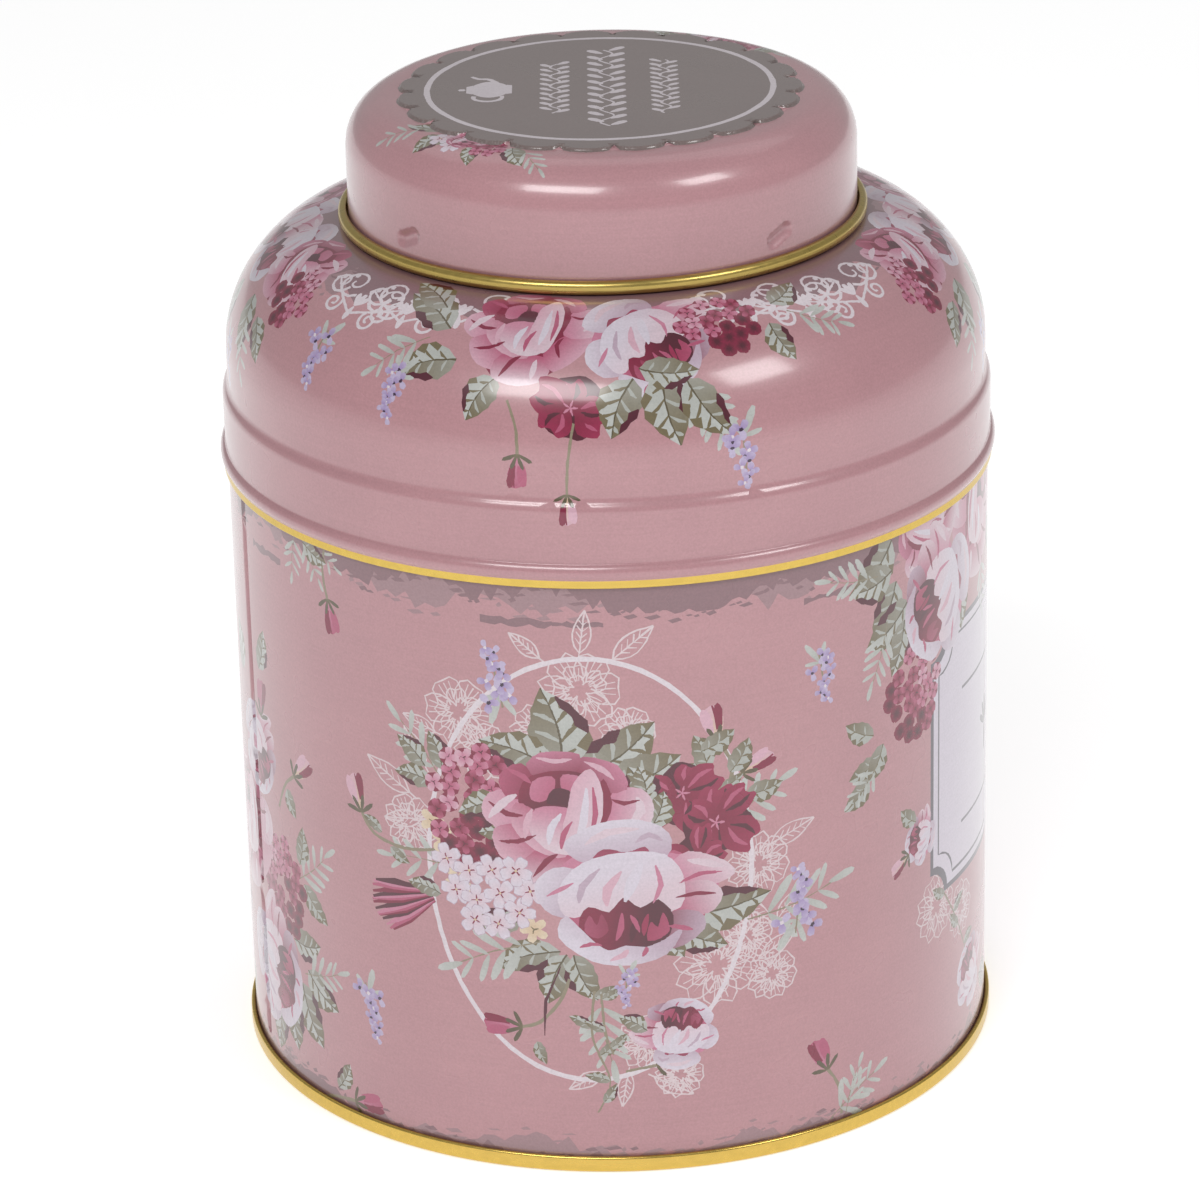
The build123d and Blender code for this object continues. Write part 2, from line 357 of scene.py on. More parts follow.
pinkMarks = (
    ("crimson", .07, -.98, .3, -.75, .12, -.55, .1), ("crimson", .06, -.9, -.3, -.65, -.3, -.4, -.2),
    ("blush", .1, -1, .05, -.8, .28, -.6, .42), ("crimson", .07, -.5, -.85, -.3, -.6, -.15, -.5),
    ("blush", .11, .8, -.1, .95, .08, .92, .3), ("crimson", .06, .45, -.6, .4, -.35, .5, -.2),
    ("lilacWhite", .09, .12, -.3, .22, 0, .3, .5), ("rosePink", .06, .3, -.25, .38, .1, .38, .5),
    ("lilacWhite", .09, -.25, -.35, -.2, -.1, -.05, .12), ("rosePink", .06, -.1, -.42, -.05, -.2, .08, 0),
    ("palePink", .08, -.55, -.25, -.5, 0, -.42, .2), ("rosePink", .07, -.7, .82, -.5, .7, -.4, .6),
    ("palePink", .07, .3, .9, .5, .78, .65, .6), ("palePink", .06, -.3, .98, -.05, .92, .15, .95),
    ("blush", .08, 0, -.95, .05, -.75, .1, -.6), ("crimson", .05, .6, .3, .75, .22, .95, .25))
# and of a white rose whose crimson heart shows at the foot
whitePetals = (
    ("rosePink", "pink", -.9, .1, -.6, .6, 0, .6, .6, .5, .95, .1, .7, -.5, .1, -.9, -.5, -.75),
    ("pink", "blush", .4, .35, .62, .55, 1, .35, 1.12, .12, .8, 0, .45, .05),
    ("rosePink", "blush", .4, .05, .8, .1, .98, -.15, .8, -.4, .45, -.3),
    ("crimson", "shade", .35, -.3, .7, -.35, .75, -.62, .4, -.85, .2, -.55),
    ("shade", "lilacWhite", -.55, .35, -.85, .42, -1.08, .15, -.98, -.2, -.72, -.3, -.6, 0),
    ("shade", "lilacWhite", -.55, .5, -.72, .78, -.35, 1.05, .1, 1.08, .42, .85, .38, .5, 0, .4),
    ("rosePink", "crimson", -.42, .5, -.3, .68, -.05, .62, .15, .68, .18, .5, -.1, .42),
    ("blush", "lilacWhite", -.75, -.3, -.82, .1, -.55, .48, -.1, .62, .35, .55, .55, .2, .5, -.25, .1, -.3,
      -.4, -.25),
    ("wine", "crimson", -.62, -.42, -.5, -.15, -.28, -.24, -.12, -.04, .06, -.2, .26, -.1, .42, -.38, .3, -.72,
      -.1, -.82, -.5, -.72),
    ("crimson", "rosePink", -.56, -.5, -.5, -.28, -.42, -.42, -.36, -.26, -.3, -.5, -.42, -.62),
    ("crimsonLight", "rosePink", .12, -.7, .16, -.42, .24, -.5, .3, -.3, .36, -.46, .34, -.62),
    ("shade", "lilacWhite", -.75, -.28, -.85, -.6, -.5, -.95, -.1, -1.04, .32, -.92, .52, -.55, .3, -.7, .1,
      -.78, -.12, -.74, -.3, -.8, -.5, -.62))
whiteMarks = (
    ("shade", .07, -.6, -.1, -.55, .15, -.35, .4), ("palePink", .09, -.3, -.15, -.28, .1, -.12, .35),
    ("pink", .05, .2, -.15, .3, .1, .25, .4), ("lilacWhite", .12, -.1, -.1, 0, .2, .1, .45),
    ("rosePink", .05, .5, .1, .72, .2, .98, .18), ("crimson", .05, .45, -.1, .68, -.08, .9, -.12),
    ("rosePink", .06, .35, -.5, .5, -.55, .62, -.6), ("blush", .09, -.5, .75, -.25, .92, .1, .95),
    ("shade", .07, .05, .75, .2, .85, .34, .75), ("pink", .05, -.95, 0, -.8, .1, -.65, .2),
    ("rosePink", .06, -.22, -.66, -.16, -.48, -.14, -.26), ("wine", .07, -.06, -.7, -.02, -.5, .02, -.34),
    ("crimsonLight", .06, .08, -.62, .1, -.46, .14, -.3), ("rosePink", .05, -.05, -.3, 0, -.42, .04, -.56),
    ("rosePink", .05, -.62, -.75, -.5, -.7, -.38, -.72), ("rosePink", .05, .05, -.92, .1, -.84, .1, -.78),
    ("blush", .09, .6, .42, .8, .35, 1, .25), ("palePink", .07, -.3, -.95, -.15, -.88, -.1, -.8))
pinkRose, whiteRose = (pinkPetals, pinkMarks, (0, 0.35)), (whitePetals, whiteMarks, (0, -0.4))


def rose(art, place, radius, kind, turn=0, tall=0.9):
    petals, marks, heart = kind
    whole = spot(place, 0, 0, turn, radius)

    def here(x, y):
        return whole(x, y * tall)

    for root, tip, *run in petals:
        points = list(zip(run[::2], run[1::2]))
        middle = [sum(c) / len(points) for c in zip(*points)]
        reach = math.dist(middle, heart) + 1e-3
        fill(art, here, loop(points), root, tip, [m - (m - h) / reach * 0.25 for m, h in zip(middle, heart)],
             [m + (m - h) / reach * 0.3 for m, h in zip(middle, heart)])
    for tone, width, *run in marks:
        stroke(art, here, curve(list(zip(run[::2], run[1::2])), 2), width * 1.2, tone)


def plant(art, place, draw, rows):
    # one drawing again and again: where it stands, its turn, and whatever else it takes
    for x, y, turn, *rest in rows:
        draw(art, spot(place, x, y, turn), *rest)


def floret(art, place, size, tones, petals=4, heart="wine", seed=0):
    deep, light = tones
    turn = random.Random(seed).uniform(0, 90)
    for i in range(petals):
        one = spot(place, 0, 0, turn + i * 360 / petals)
        fill(art, one, petal(size, size * (2.6 / petals + 0.22), 9, 0.08), deep, light,
             (0, size * 0.15), (0, size * 0.8))
    for i in range(3):
        one = spot(place, 0, 0, turn + i * 120 + 20)
        fill(art, one, [(-size * 0.05, 0), (size * 0.05, 0), (size * 0.03, size * 0.3), (-size * 0.03, size * 0.3)],
             heart)


def hydrangea(art, place, wide, tall, seed=0, count=30, lit=135):
    # a round head of four-petalled florets, dark underneath and away from the light
    rng = random.Random(seed)
    spots = []
    for tries in range(4000):
        a, r = rng.uniform(0, 2 * math.pi), math.sqrt(rng.random())
        x, y = r * wide / 2 * math.cos(a), r * tall / 2 * math.sin(a)
        gap = 0.78 * math.sqrt(wide * tall / count)
        if all((x - p) ** 2 + (y - q) ** 2 > gap * gap for p, q in spots):
            spots.append((x, y))
        if len(spots) == count:
            break
    size = 0.58 * math.sqrt(wide * tall / len(spots))
    c, s = math.cos(math.radians(lit)), math.sin(math.radians(lit))
    spots.sort(key=lambda p: p[0] * c / wide + p[1] * s / tall)
    for x, y in spots:
        fill(art, spot(place, x, y), ellipse(turns(9), size * 0.95), "crimson")
    for i, (x, y) in enumerate(spots):
        light = 2 * (x * c / wide + y * s / tall)
        tones = (("wine", "crimson"), ("crimson", "rosePink"), ("rosePink", "pink"), ("pink", "palePink"))
        pick = min(3, max(0, int(1.6 + 1.9 * light + rng.uniform(-0.8, 0.8))))
        floret(art, spot(place, x, y), size, tones[pick], 4, "wine", rng.random())


def phlox(art, place, spots, size, seed=0):
    # loose white florets with crimson eyes
    rng = random.Random(seed)
    for x, y in spots:
        one = spot(place, x, y, rng.uniform(0, 72))
        for i in range(5):
            leafTurn = spot(one, 0, 0, i * 72)
            fill(art, leafTurn, petal(size * 1.05, size * 0.86, 10, 0.1), "shade")
            fill(art, leafTurn, petal(size, size * 0.76, 12, 0.1), "blush", "lilacWhite",
                 (0, size * 0.2), (0, size * 0.8))
        for i in range(4):
            stroke(art, one, [(0, 0), (size * 0.32 * math.cos(i * 1.6), size * 0.32 * math.sin(i * 1.6))],
                   size * 0.14, "crimson")
        fill(art, one, ellipse((0, 1.2, 2.5, 3.8, 5), size * 0.09), "cream")


def blossom(art, place, size, seed=0):
    # a dark crimson bloom of broad ruffled petals
    rng = random.Random(seed)
    outline = [(size * rng.uniform(0.86, 1.12) * math.cos(a), size * rng.uniform(0.86, 1.1) * math.sin(a))
               for a in turns(11)]
    fill(art, place, loop([(x * 0.8, y * 0.8) for x, y in outline]), "wine")
    for i in range(5):
        x, y = size * rng.uniform(-0.12, 0.12), size * rng.uniform(-0.12, 0.12)
        one = spot(place, x, y, i * 72 + rng.uniform(-20, 20))
        wide, long = size * rng.uniform(0.7, 1.05), size * rng.uniform(0.8, 1.2)
        ruffle = [(-wide * 0.12, size * 0.1), (-wide * 0.48, long * 0.55), (-wide * 0.3, long * 0.95),
                  (0, long * 0.86), (wide * 0.3, long * 1.0), (wide * 0.5, long * 0.5), (wide * 0.12, size * 0.1)]
        fill(art, one, loop(ruffle), "crimson", "crimsonLight", (0, size * 0.2), (0, long))
        for k in (-1, 1):
            fold = [(k * size * 0.04, size * 0.3), (k * wide * 0.2, long * 0.6), (k * wide * 0.16, long * 0.88)]
            stroke(art, one, curve(fold, 2), size * 0.12, "rosePink" if k * (i % 2 * 2 - 1) > 0 else "wine")
    for i in range(5):
        a = i * 1.26
        stroke(art, place, [(0, 0), (size * 0.1 * math.cos(a), size * 0.1 * math.sin(a)),
                            (size * 0.2 * math.cos(a), size * 0.2 * math.sin(a))], size * 0.06, "pink")


def leaf(art, place, length, width, seed=0, blotch=True, veins=4, tones=("olive", "greyLeaf")):
    # root at the origin, tip up; one half dark and one light, with cut veins
    rng = random.Random(seed)
    dark, light = tones
    count = 9
    rightSide, leftSide = [], []
    for i in range(count + 1):
        t = i / count
        half = width / 2 * math.sin(math.pi * t ** 0.8) ** 0.85
        tooth = 1 + (0.07 if i % 2 else -0.04) * (0 < i < count)
        bow = 0.12 * width * math.sin(math.pi * t)
        rightSide.append((half * tooth + bow, t * length))
        leftSide.append((-half * tooth + bow, t * length))
    spine = [(0.12 * width * math.sin(math.pi * i / count), i / count * length) for i in range(count + 1)]
    fill(art, place, rightSide + leftSide[-2:0:-1], light, light if not blotch else "leafLight", (0, 0), (0, length))
    fill(art, place, spine + leftSide[-2:0:-1], dark, light, (0, length * 0.9), (0, -length * 0.6))
    for i in range(3):   # the light half is dark along its toothed edge too
        k = 2 + 2 * i
        fill(art, place, [rightSide[k], rightSide[k + 1], rightSide[min(k + 2, count)],
                          (rightSide[k + 1][0] * 0.55, rightSide[k + 1][1] - length * 0.03)], dark)
    for i in range(veins):
        t = (i + 0.7) / (veins + 0.6)
        x0, reach = 0.12 * width * math.sin(math.pi * t), width * 0.40 * math.sin(math.pi * min(1, t + 0.08)) ** 0.8
        for side in (-1, 1):
            stroke(art, place, [(x0, t * length), (x0 + side * reach * 0.5, t * length + reach * 0.42),
                                (x0 + side * reach * 0.92, t * length + reach * 0.62)], width * 0.085,
                   light if side < 0 else dark)
    if blotch:
        edge = rng.choice((rightSide, leftSide))
        first = rng.choice((2, 4))
        pick = edge[first:first + 5]
        inner = [(p[0] * k + spine[first + i][0] * (1 - k), p[1] - 0.03 * length)
                 for (i, p), k in zip(enumerate(pick), (0.95, 0.55, 0.72, 0.5, 0.9))]
        fill(art, place, pick + inner[::-1], "wine")
    ribbon(art, place, spine, width * 0.05, "oliveDeep" if blotch else dark, 0.6)


def frond(art, place, length, pairs=4, seed=0, tone="greyLeaf"):
    # pale willow leaves in pairs on a thin stem
    rng = random.Random(seed)
    ribbon(art, place, curve([(0, 0), (length * 0.04, length * 0.5), (0, length)], 5), length * 0.018, "stem", 0.5)
    for i in range(pairs):
        y = length * (0.2 + 0.7 * i / pairs)
        size = length * (0.42 - 0.05 * i)
        for side in (-1, 1):
            one = spot(place, 0.02 * length, y, side * -(48 + rng.uniform(-10, 10)))
            fill(art, one, petal(size, size * 0.27, 10), tone, "leafLight", (0, 0), (0, size))
    fill(art, spot(place, 0, length * 0.85), petal(length * 0.3, length * 0.1, 10), tone, "leafLight",
         (0, 0), (0, length * 0.3))


def lavender(art, place, length, seed=0):
    # a drooping cluster of small lilac florets with dark throats, among pale leaves
    rng = random.Random(seed)
    for turn, size in ((150, 0.55), (205, 0.42), (100, 0.36)):
        fill(art, spot(place, 0, length * 0.12, turn), petal(length * size, length * size * 0.3, 9),
             "greyLeaf", "leafLight", (0, 0), (0, length * size))
    ribbon(art, place, [(0, -length * 0.1), (0, length * 0.8)], 0.3, "stem")
    count = 11
    for i in range(count):
        t = i / (count - 1)
        size = length * (0.15 - 0.04 * t)
        x = rng.uniform(-1, 1) * length * (0.30 - 0.24 * t)
        one = spot(place, x, t * length * 0.92, rng.uniform(-50, 50))
        for turn in (0, 130, 230):
            fill(art, spot(one, 0, 0, turn), petal(size * 1.25, size * 1.1, 8),
                 "lavender" if turn else "lavenderPale", "lavenderPale", (0, 0), (0, size * 1.4))
        if i % 3 != 1:
            fill(art, one, ellipse((0.3, 1.5, 2.9, 4.2, 5.4), 0.32 * size, 0.24 * size), "plum")
        else:
            fill(art, one, ellipse((0.3, 1.8, 3.4, 5), 0.3 * size), "white")


rosy, pale = ("crimson", "rosePink", "pink"), ("crimson", "palePink", "cream")


def bud(art, place, size, tones=pale, stem=()):
    # a closed rosebud pointing up, on a stem that starts at its foot
    deep, light, lip = tones
    if stem:
        ribbon(art, place, curve([(0, 0)] + list(stem), 5), max(0.35, size * 0.10), "stem", 0.2)
    fill(art, place, petal(size, size * 0.62, 14, 0, 0.03), light, lip, (0, size), (0, 0))
    fill(art, spot(place, -size * 0.10, size * 0.1, 8), petal(size * 0.85, size * 0.34, 12), "blush", light)
    fill(art, spot(place, size * 0.1, size * 0.22, -6), petal(size * 0.8, size * 0.28, 12), deep)
    fold = [(size * 0.04, size * 0.3), (size * 0.1, size * 0.6), (size * 0.04, size * 0.98)]
    stroke(art, place, fold, size * 0.1, deep)
    for turn in (-62, -20, 24, 64):
        sepal = petal(size * 0.5, size * 0.15, 8)
        fill(art, spot(place, 0, -size * 0.04, turn), sepal, "olive", "oliveDeep")


def leaves(art, place, rows, mix=1, size=(), blotch=True, veins=4):
    # leaves at x, y, turn, of their own size or the one given; x * mix + y picks each one's markings
    for x, y, turn, *own in rows:
        leaf(art, spot(place, x, y, turn), *(own or size), int(x * mix + y), blotch, veins)


def twigLeaves(art, place, points, count, size):
    path = curve(points, 5)
    ribbon(art, place, path, 0.42, "stem", 0.3)
    for i in range(count):
        x, y = path[int((i + 0.6) / count * (len(path) - 1))]
        leaf(art, spot(place, x, y, (55 if i % 2 else -60) + i * 7), size, size * 0.45, i, i % 3 == 1, 2)


def lineFlower(art, place, radius, seed=0, width=0.24, tone="line"):
    rng = random.Random(seed)
    for ring, (reach, count) in enumerate(((1.0, 6), (0.68, 5), (0.4, 4))):
        turn = rng.uniform(0, 90)
        for i in range(count):
            one = spot(place, 0, 0, turn + i * 360 / count)
            size = radius * reach
            path = petal(size, size * 0.95, 12, 0.14, 0.04, i)
            ribbon(art, one, path[2:-1], width, tone)
            for k in (-1, 0, 1):
                if ring < 2:
                    ribbon(art, one, [(k * size * 0.05, size * 0.35), (k * size * 0.12, size * 0.6),
                                      (k * size * 0.16, size * 0.82)], width * 0.7, tone)


def lineLeaf(art, place, length, width=0.24, tone="line", veins=4):
    path = [(length * 0.2 * math.sin(math.pi * t ** 0.8), t * length) for t in np.linspace(0, 1, 8)]
    for side in (-1, 1):
        ribbon(art, place, [(x * side, y) for x, y in path], width, tone)
    ribbon(art, place, [(0, -length * 0.15), (0, length)], width, tone)
    for i in range(veins):
        y = length * (0.2 + 0.6 * i / veins)
        for side in (-1, 1):
            ribbon(art, place, [(0, y), (side * length * 0.12, y + length * 0.13)], width * 0.7, tone)


def scroll(art, place, size, width=0.55, tone="white", rounds=1.4):
    path = []
    for i in range(22):
        t = i / 21
        a = math.radians(-90 + 360 * rounds * t)
        r = size * (0.5 - 0.42 * t)
        path.append((r * math.cos(a), size * 0.5 + r * math.sin(a)))
    ribbon(art, place, path, width, tone, 0.3)


def lace(art, place, size):
    # a mirrored group of scrolls with dots, like a lace corner
    for side in (-1, 1):
        scroll(art, spot(place, side * size * 0.16, 0, side * -52, 1, side), size * 0.62)
        scroll(art, spot(place, side * size * 0.42, size * 0.06, side * -86, 1, side), size * 0.46)
        scroll(art, spot(place, side * size * 0.30, -size * 0.16, side * -128, 1, side), size * 0.34)
        sweep = [(0, -size * 0.30), (side * size * 0.2, -size * 0.2), (side * size * 0.5, -size * 0.06),
                 (side * size * 0.78, size * 0.10)]
        ribbon(art, place, curve(sweep, 5), 0.5, "white", 0.3)
        for k in range(4):
            x, y = side * size * (0.55 + 0.09 * k), size * (0.28 - 0.07 * k)
            fill(art, place, ellipse((0, 1.25, 2.5, 3.75, 5), 0.5, 0.5, x, y), "white")
    for turn in (-30, 0, 30, 180):
        fill(art, spot(place, 0, -size * 0.16, turn), petal(size * 0.26, size * 0.12, 10), "white")


def tornBand(art, place, low, high, seed, tone, step, down=True):
    # a strip of worn colour, ragged on one side, that closes on itself round the tin
    rng, start, end = random.Random(seed), seamU, seamU + wrap
    waves = [(k, rng.uniform(0, 6.28), rng.uniform(0.06, 0.16)) for k in (2, 3, 5, 8, 13, 21)]
    count = int((end - start) / step)
    edges = []
    for i in range(count):
        slow = sum(h * math.sin(2 * math.pi * k * i / count + p) for k, p, h in waves)
        edges.append(min(1, max(0.05, 0.5 + slow + rng.uniform(-0.22, 0.22))))
    edges.append(edges[0])
    for i, (e, f) in enumerate(zip(edges, edges[1:])):
        u, v = start + (end - start) * i / count, start + (end - start) * (i + 1) / count
        if down:
            fill(art, place, [(u, high - (high - low) * e), (v, high - (high - low) * f), (v, high), (u, high)], tone)
        else:
            fill(art, place, [(u, low), (v, low), (v, low + (high - low) * f), (u, low + (high - low) * e)], tone)
        if rng.random() < 0.45:   # a fleck off the ragged side
            way, root = (-1, high) if down else (1, low)
            y = root + way * (high - low) * e + way * rng.uniform(0, 1.3)
            w, h = rng.uniform(0.4, 1.6), rng.uniform(0.15, 0.5)
            fill(art, place, [(u - w, y), (u - w * 0.3, y - h), (u + w, y - h * 0.3), (u + w * 0.4, y + h)], tone)


drum = bodySizes["radius"]   # the print is drawn flat, as wide as the drum is round
wrap = 2 * math.pi * drum
finest = wrap / 3000   # smallest detail of the print
seamU = (bodySizes["seamAzimuth"] - 360 + 90) * math.pi / 180 * drum   # where the sheet starts, from the front


def frontBouquet(art, place):
    # white line work behind the oval
    for x, y, r in ((-5, 81, 6.5), (-24, 76, 6), (-20, 70, 5), (15, 34, 7), (20, 38, 4.5), (4, 22, 5),
                    (22, 50, 5.5), (-33, 56, 5), (-11, 74, 5), (2, 74, 4.5), (24, 31, 4.5), (9, 16, 4)):
        lineFlower(art, spot(place, x, y), r, int(x + y))
    plant(art, place, lineLeaf, (
        (-5, 87, -8, 7), (0, 86, -50, 8), (-11, 86, 50, 6), (-33, 61, 60, 9), (-31, 57, 100, 7), (-30, 66, 30, 7),
        (24, 53, -70, 8), (19, 44, -130, 7), (22, 34, -60, 7), (9, 27, -160, 7), (1, 17, 170, 6), (5, 16, -120, 7),
        (-3, 17, 120, 6), (-28, 72, 70, 6), (25, 40, -40, 6)))
    ribbon(art, place, ellipse(turns(73, True), 25.3, 35.2, -4.5, 50.9), 0.8, "white")
    # leaves behind the flowers
    leaves(art, place, ((-8, 67, 12, 14.5, 9.5), (-5, 67, -52, 14, 8.5), (-1, 65, -66, 12, 8),
                        (-9, 68, 72, 12.5, 6.5), (5, 60, 20, 9, 6), (8, 50, -120, 8, 6), (-14, 56, 130, 7, 5)), 3)
    leaves(art, place, ((8, 43.5, -84, 16, 7.5), (6, 43, -150, 8, 5), (8, 42, -118, 10, 5.5),
                        (-9, 37.5, 108, 11, 5.5), (-8, 37, 160, 9, 5.5), (-7, 37, -155, 8.5, 5),
                        (-15, 42, 100, 8, 4.5)), 5)
    plant(art, place, frond, ((-12, 39, 112, 16, 4, 3), (-27, 64, 40, 13, 3, 4), (14, 58, -66, 14, 4, 5),
                              (-26, 50, 92, 12, 3, 6), (20, 41, -78, 17, 4, 8), (-3, 31, -172, 14, 4, 9)))
    leaves(art, place, ((-29, 63.5, 84), (-27, 66, 20), (-30, 66, 48)), 0, (6.5, 3.8))
    # buds on their stems
    plant(art, place, bud, ((-42.5, 55.5, 14, 6.2, pale, ((1.6, -3.5), (7, -6), (14, -6.5))),
                            (15.6, 71.5, 10, 6.0, pale, ((1.5, -5), (-1, -9), (-5, -13))),
                            (19.5, 65.6, -64, 5.6, pale, ((0, -4), (3, -7))),
                            (-15.5, 24.2, 88, 6.0, rosy, ((1.2, -3), (5, -6), (9, -7.5))),
                            (5.5, 18, -80, 5.0, rosy, ((0, -5),))))
    leaves(art, place, ((-38.5, 53, 60), (-37, 51, -120), (14, 66, 60), (16, 63.5, -60), (-13, 22, 200)), 0,
           (4.2, 2.0), False, 2)
    twigLeaves(art, place, [(-3.9, 31), (-4.4, 23), (-1.8, 15.5), (-3.8, 10)], 5, 4)
    twigLeaves(art, place, [(-2.9, 30.5), (-2.4, 24), (-1.2, 20)], 3, 3.6)
    stroke(art, place, [(-9, 35), (-11.5, 29), (-11.8, 23)], 0.5, "wine")
    # feathery crimson bloom at the left
    feather = spot(place, -29.5, 44.5, 112)
    for i in range(16):
        t = (i - 7.5) / 7.5
        stroke(art, feather, [(t * 1.0, 0), (t * 3.2, 6), (t * 4.2 + 0.4 * math.sin(5 * i), 12 - 2.2 * t * t)], 1.15,
               (*rosy, "wine")[i % 4])
    leaf(art, spot(place, -28, 45, 80), 6, 3, 2)
    # blooms
    for x, y, size in ((-27, 54, 2.6), (-29, 57, 2.4), (-25, 47.5, 2.6), (-13, 41, 2.4), (2, 55, 2.4), (6, 50, 2.2)):
        floret(art, spot(place, x, y), size, ("cream", "creamPale"), 5, "olive", int(x))
    hydrangea(art, spot(place, -21.5, 60.5), 15.5, 19, 3, 34)
    leaves(art, place, ((14, 67, 20), (17.5, 66, -30), (13, 70, -60), (20, 62, -80)), 1, (6.2, 3.6), False, 3)
    plant(art, place, leaf, ((-17, 62, 110, 8, 4.5, 9), (-14, 57, 95, 7.5, 4, 10)))
    plant(art, place, blossom, ((10.0, 63.5, 0, 6.2, 1), (15.2, 58.0, 0, 6.6, 2), (12.0, 52.5, 0, 5.0, 3)))
    plant(art, place, leaf, ((4.5, 62, 10, 6.5, 4.5, 33), (5.0, 58, -20, 6.5, 4.5, 34)))
    rose(art, spot(place, -7.6, 59.4), 12.0, pinkRose, 4)
    phlox(art, place, ((-26.8, 51.2), (-23.1, 49.8), (-19.4, 50.4), (-25.4, 46.2), (-22.0, 45.0), (-18.2, 46.6),
                       (-18.6, 41.4), (-22.4, 41.6), (-15.2, 43.6), (-13.4, 47.4), (-15.6, 50.6)), 2.75, 4)
    plant(art, place, rose, ((2.4, 47.2, 0, 14.0, whiteRose, 2, 0.82), (8.4, 23.3, 0, 6.4, whiteRose, 170)))
    leaf(art, spot(place, 4, 24, 60), 5, 3, 4)
    plant(art, place, lavender, ((-17, 78.5, 12, 9.6, 1), (28.2, 38.0, -6, 10.5, 2), (1, 34, 180, 6, 3)))


def labelOutline(grow):
    # a label with hollow corners
    w, h, points = 36.0 + grow, 21.5 + grow, []
    for x, y, start in ((w, -h, 180), (w, h, -90), (-w, h, 0), (-w, -h, 90)):
        points += arc(x, y, 4.5 - grow * 0.2, start, start - 90, 6)
    return points


def labelPanel(art, place):
    # a blank label under a garland of roses
    for x, y, r in ((-35, 31, 6), (35, 31, 6), (-26, 27, 5), (26, 27, 5), (0, 27, 6)):
        lineFlower(art, spot(place, x, y), r, int(x + y))
    label = spot(place, 0, 55)
    fill(art, label, labelOutline(0.9), "outline")
    fill(art, label, labelOutline(0.0), "plaque")
    rim = labelOutline(-1.5)
    ribbon(art, label, rim + [rim[0]], 0.4, "outline")
    for x, size in ((0, 1.0), (-11, 0.7), (11, 0.7)):   # a plain leaf ornament
        for turn in (-60, -30, 0, 30, 60, 180):
            fill(art, spot(label, x, -2, turn), petal(7 * size, 2.2 * size, 10), "outline")
    for y in (-13, 10):
        ribbon(art, label, [(-26, y), (26, y)], 0.45, "outline")
    for side in (-1, 1):
        here = spot(place, 0, 0, 0, 1, side)
        leaves(art, here, ((43, 96, 30, 9, 6), (47, 97, -130, 10, 7), (46, 90, -150, 10, 6.5),
                           (43, 86, -120, 11, 6.5), (47, 92, -100, 9, 6), (44, 83, -160, 9, 5), (28, 84, 170, 9, 6),
                           (10, 88, 150, 9, 6), (14, 96, 60, 9, 6), (30, 100, 20, 9, 5)))
        plant(art, here, frond, ((48, 84, -160, 11, 4, 48), (16, 84, 170, 11, 4, 16), (50, 92, -80, 11, 4, 50)))
        twigLeaves(art, here, [(46, 99), (52, 100.5), (58, 98.5), (64, 100)], 5, 4.5)
        hydrangea(art, spot(here, 41, 70), 13, 14, 5, 26)
        plant(art, here, rose, ((19, 92, 0, 11, pinkRose, 20), (37, 97, 0, 8.5, pinkRose, -60),
                                (34, 84.5, 0, 11, whiteRose, 70)))
        lavender(art, spot(here, 61.5, 82, 170), 8, 5)
        leaves(art, here, ((51, 66, -60), (50, 62, -110), (49, 64, -150), (52, 59, -130)), 0, (6.5, 3.8), False, 2)
        frond(art, spot(here, 50, 61, -130), 8, 3, 12)
        rose(art, spot(here, 39.5, 45), 4.6, whiteRose, 100)
        bud(art, spot(here, 43, 43, -120), 4.5)
        leaf(art, spot(here, 41, 48, -50), 5, 3, 14, False, 2)
        bud(art, spot(here, 60.5, 12, -24), 6, rosy, ((-0.5, -4), (1, -9)))
        plant(art, here, frond, ((60, 3, 60, 12, 4, 2), (57, 3, 20, 9, 3, 3)))
        rose(art, spot(here, 21, 14), 6.5, whiteRose, 150)
        twigLeaves(art, here, [(33, 33), (28, 26), (24, 19)], 4, 4.5)
        leaf(art, spot(here, 15, 10, 120), 8, 5, 16)


